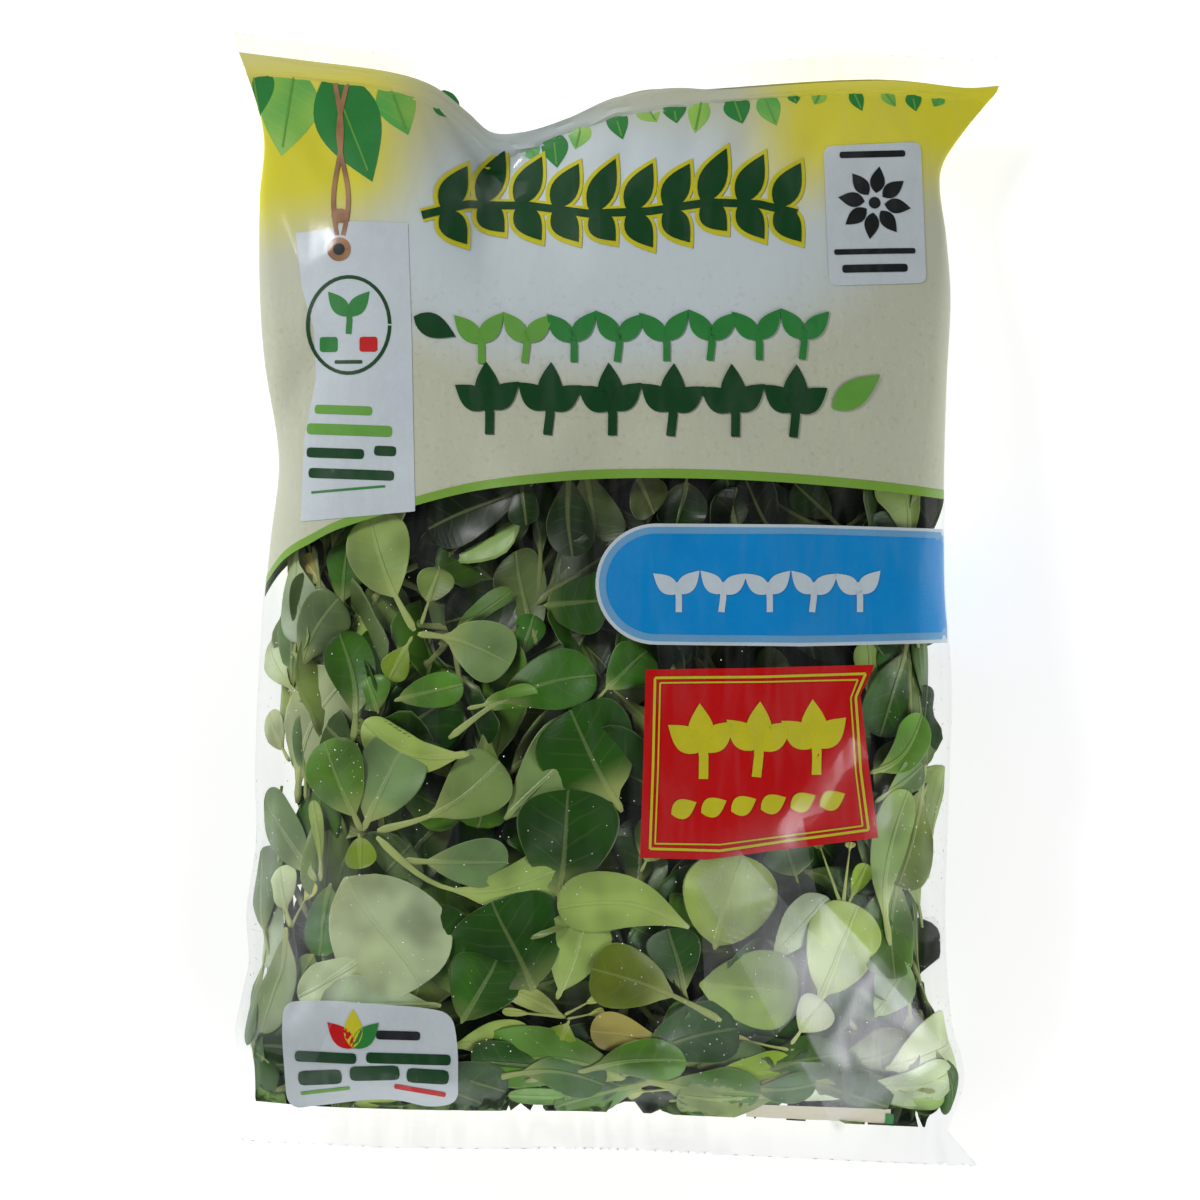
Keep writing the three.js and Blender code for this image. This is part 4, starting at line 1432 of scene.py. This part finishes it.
def make_deep_leaves(material):
    """The rosettes in the middle of the bag, which only show as depth between the others; their colour is painted
    dark as shade.
    """
    rnd = random.Random(90)
    pattern = Leaves(8, 4)
    for i in range(ROSETTE_LEAVES):
        a = 6.28 * i / ROSETTE_LEAVES + rnd.uniform(-0.3, 0.3)
        length = rnd.uniform(24, 36)
        tip, look = (length * math.cos(a), length * math.sin(a)), rnd.choice(("dark", "green", "shade"))
        pattern.add((0, 0), tip, length * 0.55, look, 0, rnd, ROSETTE_SHADE, cup=0.3, tilt=rnd.uniform(-0.25, 0.35))
    points, faces = np.concatenate(pattern.flat), np.concatenate(pattern.faces)
    model = place_object("rosette pattern", make_mesh("rosette pattern", points, faces, pattern.layers()))

    points, turns = [], []
    for y in np.arange(-98, 20, ROSETTE_PITCH):
        for x in np.arange(-56, 54, ROSETTE_PITCH):
            for z in ROSETTE_HEIGHTS:
                points.append((x + rnd.uniform(-4, 4), y + rnd.uniform(-5, 5), z + rnd.uniform(-2, 2)))
                turns.append((rnd.uniform(-0.3, 0.3), rnd.uniform(-0.3, 0.3), rnd.uniform(0, 6.28)))
    spots = make_mesh("deep leaf spots", np.array(points) + SHIFT, (), [("turn", "FLOAT_VECTOR", turns)])
    tree = Tree("rosettes on points")
    size = tree.setting("Size", "NodeSocketFloat", ROSETTE_SIZE)
    source = tree.add("GeometryNodeObjectInfo", {}, {"Object": model})
    turn = tree.add("GeometryNodeInputNamedAttribute", {"data_type": "FLOAT_VECTOR"}, {"Name": "turn"})
    cloud = tree.add("GeometryNodeMeshToPoints", {}, {"Mesh": tree.entry.outputs["Geometry"], "Radius": 0.001})
    placed = tree.add("GeometryNodeInstanceOnPoints", {}, {
        "Points": cloud.outputs[0], "Instance": source.outputs["Geometry"], "Rotation": turn.outputs[0],
        "Scale": size,
    })
    tree.grow(place_object("deep leaf spots", spots), placed, material, "deep_leaves", "leaf")
    bpy.data.objects.remove(model)


DROP_DENSITY, DROP_RADIUS, DROP_SIZES = 90000.0, 0.001, (0.06, 0.26)  # per square metre, metres, shares


def make_mist(film):
    """Small drops of mist on the film, most of them low down and at the sides."""
    carrier = place_object("mist carrier", film.data.copy())
    points = np.empty(len(carrier.data.vertices) * 3, np.float32)
    carrier.data.vertices.foreach_get("co", points)
    x, y, z = (points.reshape(-1, 3) * 1000).T
    low = 1 - ease(y, -70, 10)
    side = ease(np.abs(x), 40, 90)
    patchy = 0.5 + 0.5 * np.sin(x * 0.11 + 2) * np.sin(y * 0.13 + 1)
    on_print = (x > 4) & (x < 72) & (y > -70) & (y < -16)  # the red label
    on_print |= (x > -6) & (y > -14) & (y < 21) | (x < -40) & (y < -106)  # the band and the foot's label
    amount = np.clip((0.1 + low * 0.8) * (0.35 + 0.65 * side) * (0.3 + patchy), 0, 1)
    amount = amount * (z > 8) * (y > -136) * (y < 22) * ~on_print
    write_layer(carrier.data, "amount", "FLOAT", amount)

    tree = Tree("mist drops")
    density = tree.setting("Density", "NodeSocketFloat", DROP_DENSITY)
    seed = tree.setting("Seed", "NodeSocketInt", 5)
    share = tree.add("GeometryNodeInputNamedAttribute", {"data_type": "FLOAT"}, {"Name": "amount"})
    times = tree.add("ShaderNodeMath", {"operation": "MULTIPLY"}, {0: share.outputs[0], 1: density})
    spots = tree.add("GeometryNodeDistributePointsOnFaces", {}, {
        "Mesh": tree.entry.outputs["Geometry"], "Density": times.outputs[0], "Seed": seed,
    })
    drop = tree.add("GeometryNodeMeshIcoSphere", {}, {"Radius": DROP_RADIUS, "Subdivisions": 1})
    flat = tree.add("GeometryNodeTransform", {}, {"Geometry": drop.outputs[0], "Scale": (1, 1, 0.5)})
    sizes = dict(zip(("Min", "Max"), DROP_SIZES), Seed=seed)
    size = tree.add("FunctionNodeRandomValue", {"data_type": "FLOAT"}, sizes)
    placed = tree.add("GeometryNodeInstanceOnPoints", {}, {
        "Points": spots.outputs["Points"], "Instance": flat.outputs[0], "Rotation": spots.outputs["Rotation"],
        "Scale": size.outputs[1],
    })
    piece = tree.grow(carrier, placed, mist_drop(), "mist_drops", "clear_film")
    piece.visible_shadow = piece.visible_diffuse = False


# ---------------------------------------------------------------- stage, light and camera

VIEW_SPAN = 0.318  # metres across the picture
CAMERA_HEIGHT = 3.0
BAG_MID_HEIGHT = 0.02
SENSOR_WIDTH = 36
FLOOR_HALF, FLOOR_DROP = 3000, 0.4
WORLD_LIGHT = 0.13
LIGHT_TARGET = (0, -0.02, 0.03)


def add_camera():
    data = bpy.data.cameras.new("camera")
    data.sensor_width = SENSOR_WIDTH
    data.lens = SENSOR_WIDTH * (CAMERA_HEIGHT - BAG_MID_HEIGHT) / VIEW_SPAN
    data.clip_end = 20
    camera = place_object("camera", data)
    x, y = sheet(600, 600)
    camera.location = (float(x) / 1000, float(y) / 1000, CAMERA_HEIGHT)
    bpy.context.scene.camera = camera


def add_light(name, place, size, power):
    data = bpy.data.lights.new(name, "AREA")
    data.shape, data.size, data.size_y, data.energy = "RECTANGLE", *size, power
    light = place_object(name, data)
    light.location = place
    light.rotation_euler = (Vector(LIGHT_TARGET) - Vector(place)).to_track_quat("-Z", "Y").to_euler()


def make_stage():
    corners = [(x * FLOOR_HALF, y * FLOOR_HALF, -FLOOR_DROP) for x, y in ((-1, -1), (1, -1), (1, 1), (-1, 1))]
    mesh = make_mesh("floor", corners, [(0, 1, 2, 3)])
    mesh.materials.append(studio_floor())
    floor = place_object("floor", mesh)
    world = bpy.data.worlds.new("studio")
    world.use_nodes = True
    background = world.node_tree.nodes["Background"]
    background.inputs[0].default_value, background.inputs[1].default_value = (1, 1, 1, 1), WORLD_LIGHT
    bpy.context.scene.world = world
    bpy.context.scene.view_settings.view_transform = "Standard"
    add_light("key", (-1.15, 1.0, 0.85), (0.45, 0.45), 16)
    add_light("softbox", (0.95, -0.8, 0.66), (0.9, 0.8), 10)
    add_light("left fill", (-1.1, -0.45, 0.5), (0.4, 0.8), 1.5)


film = make_film()
film.visible_shadow = film.visible_diffuse = False  # so thin a film darkens nothing
make_head_print()
make_front_print()
make_back_panel()
leaf_material = leaf_skin()
make_shown_leaves(leaf_material)
make_edge_leaves(leaf_material)
make_fill_leaves(leaf_material)
make_deep_leaves(leaf_material)
make_mist(film)
make_stage()
add_camera()
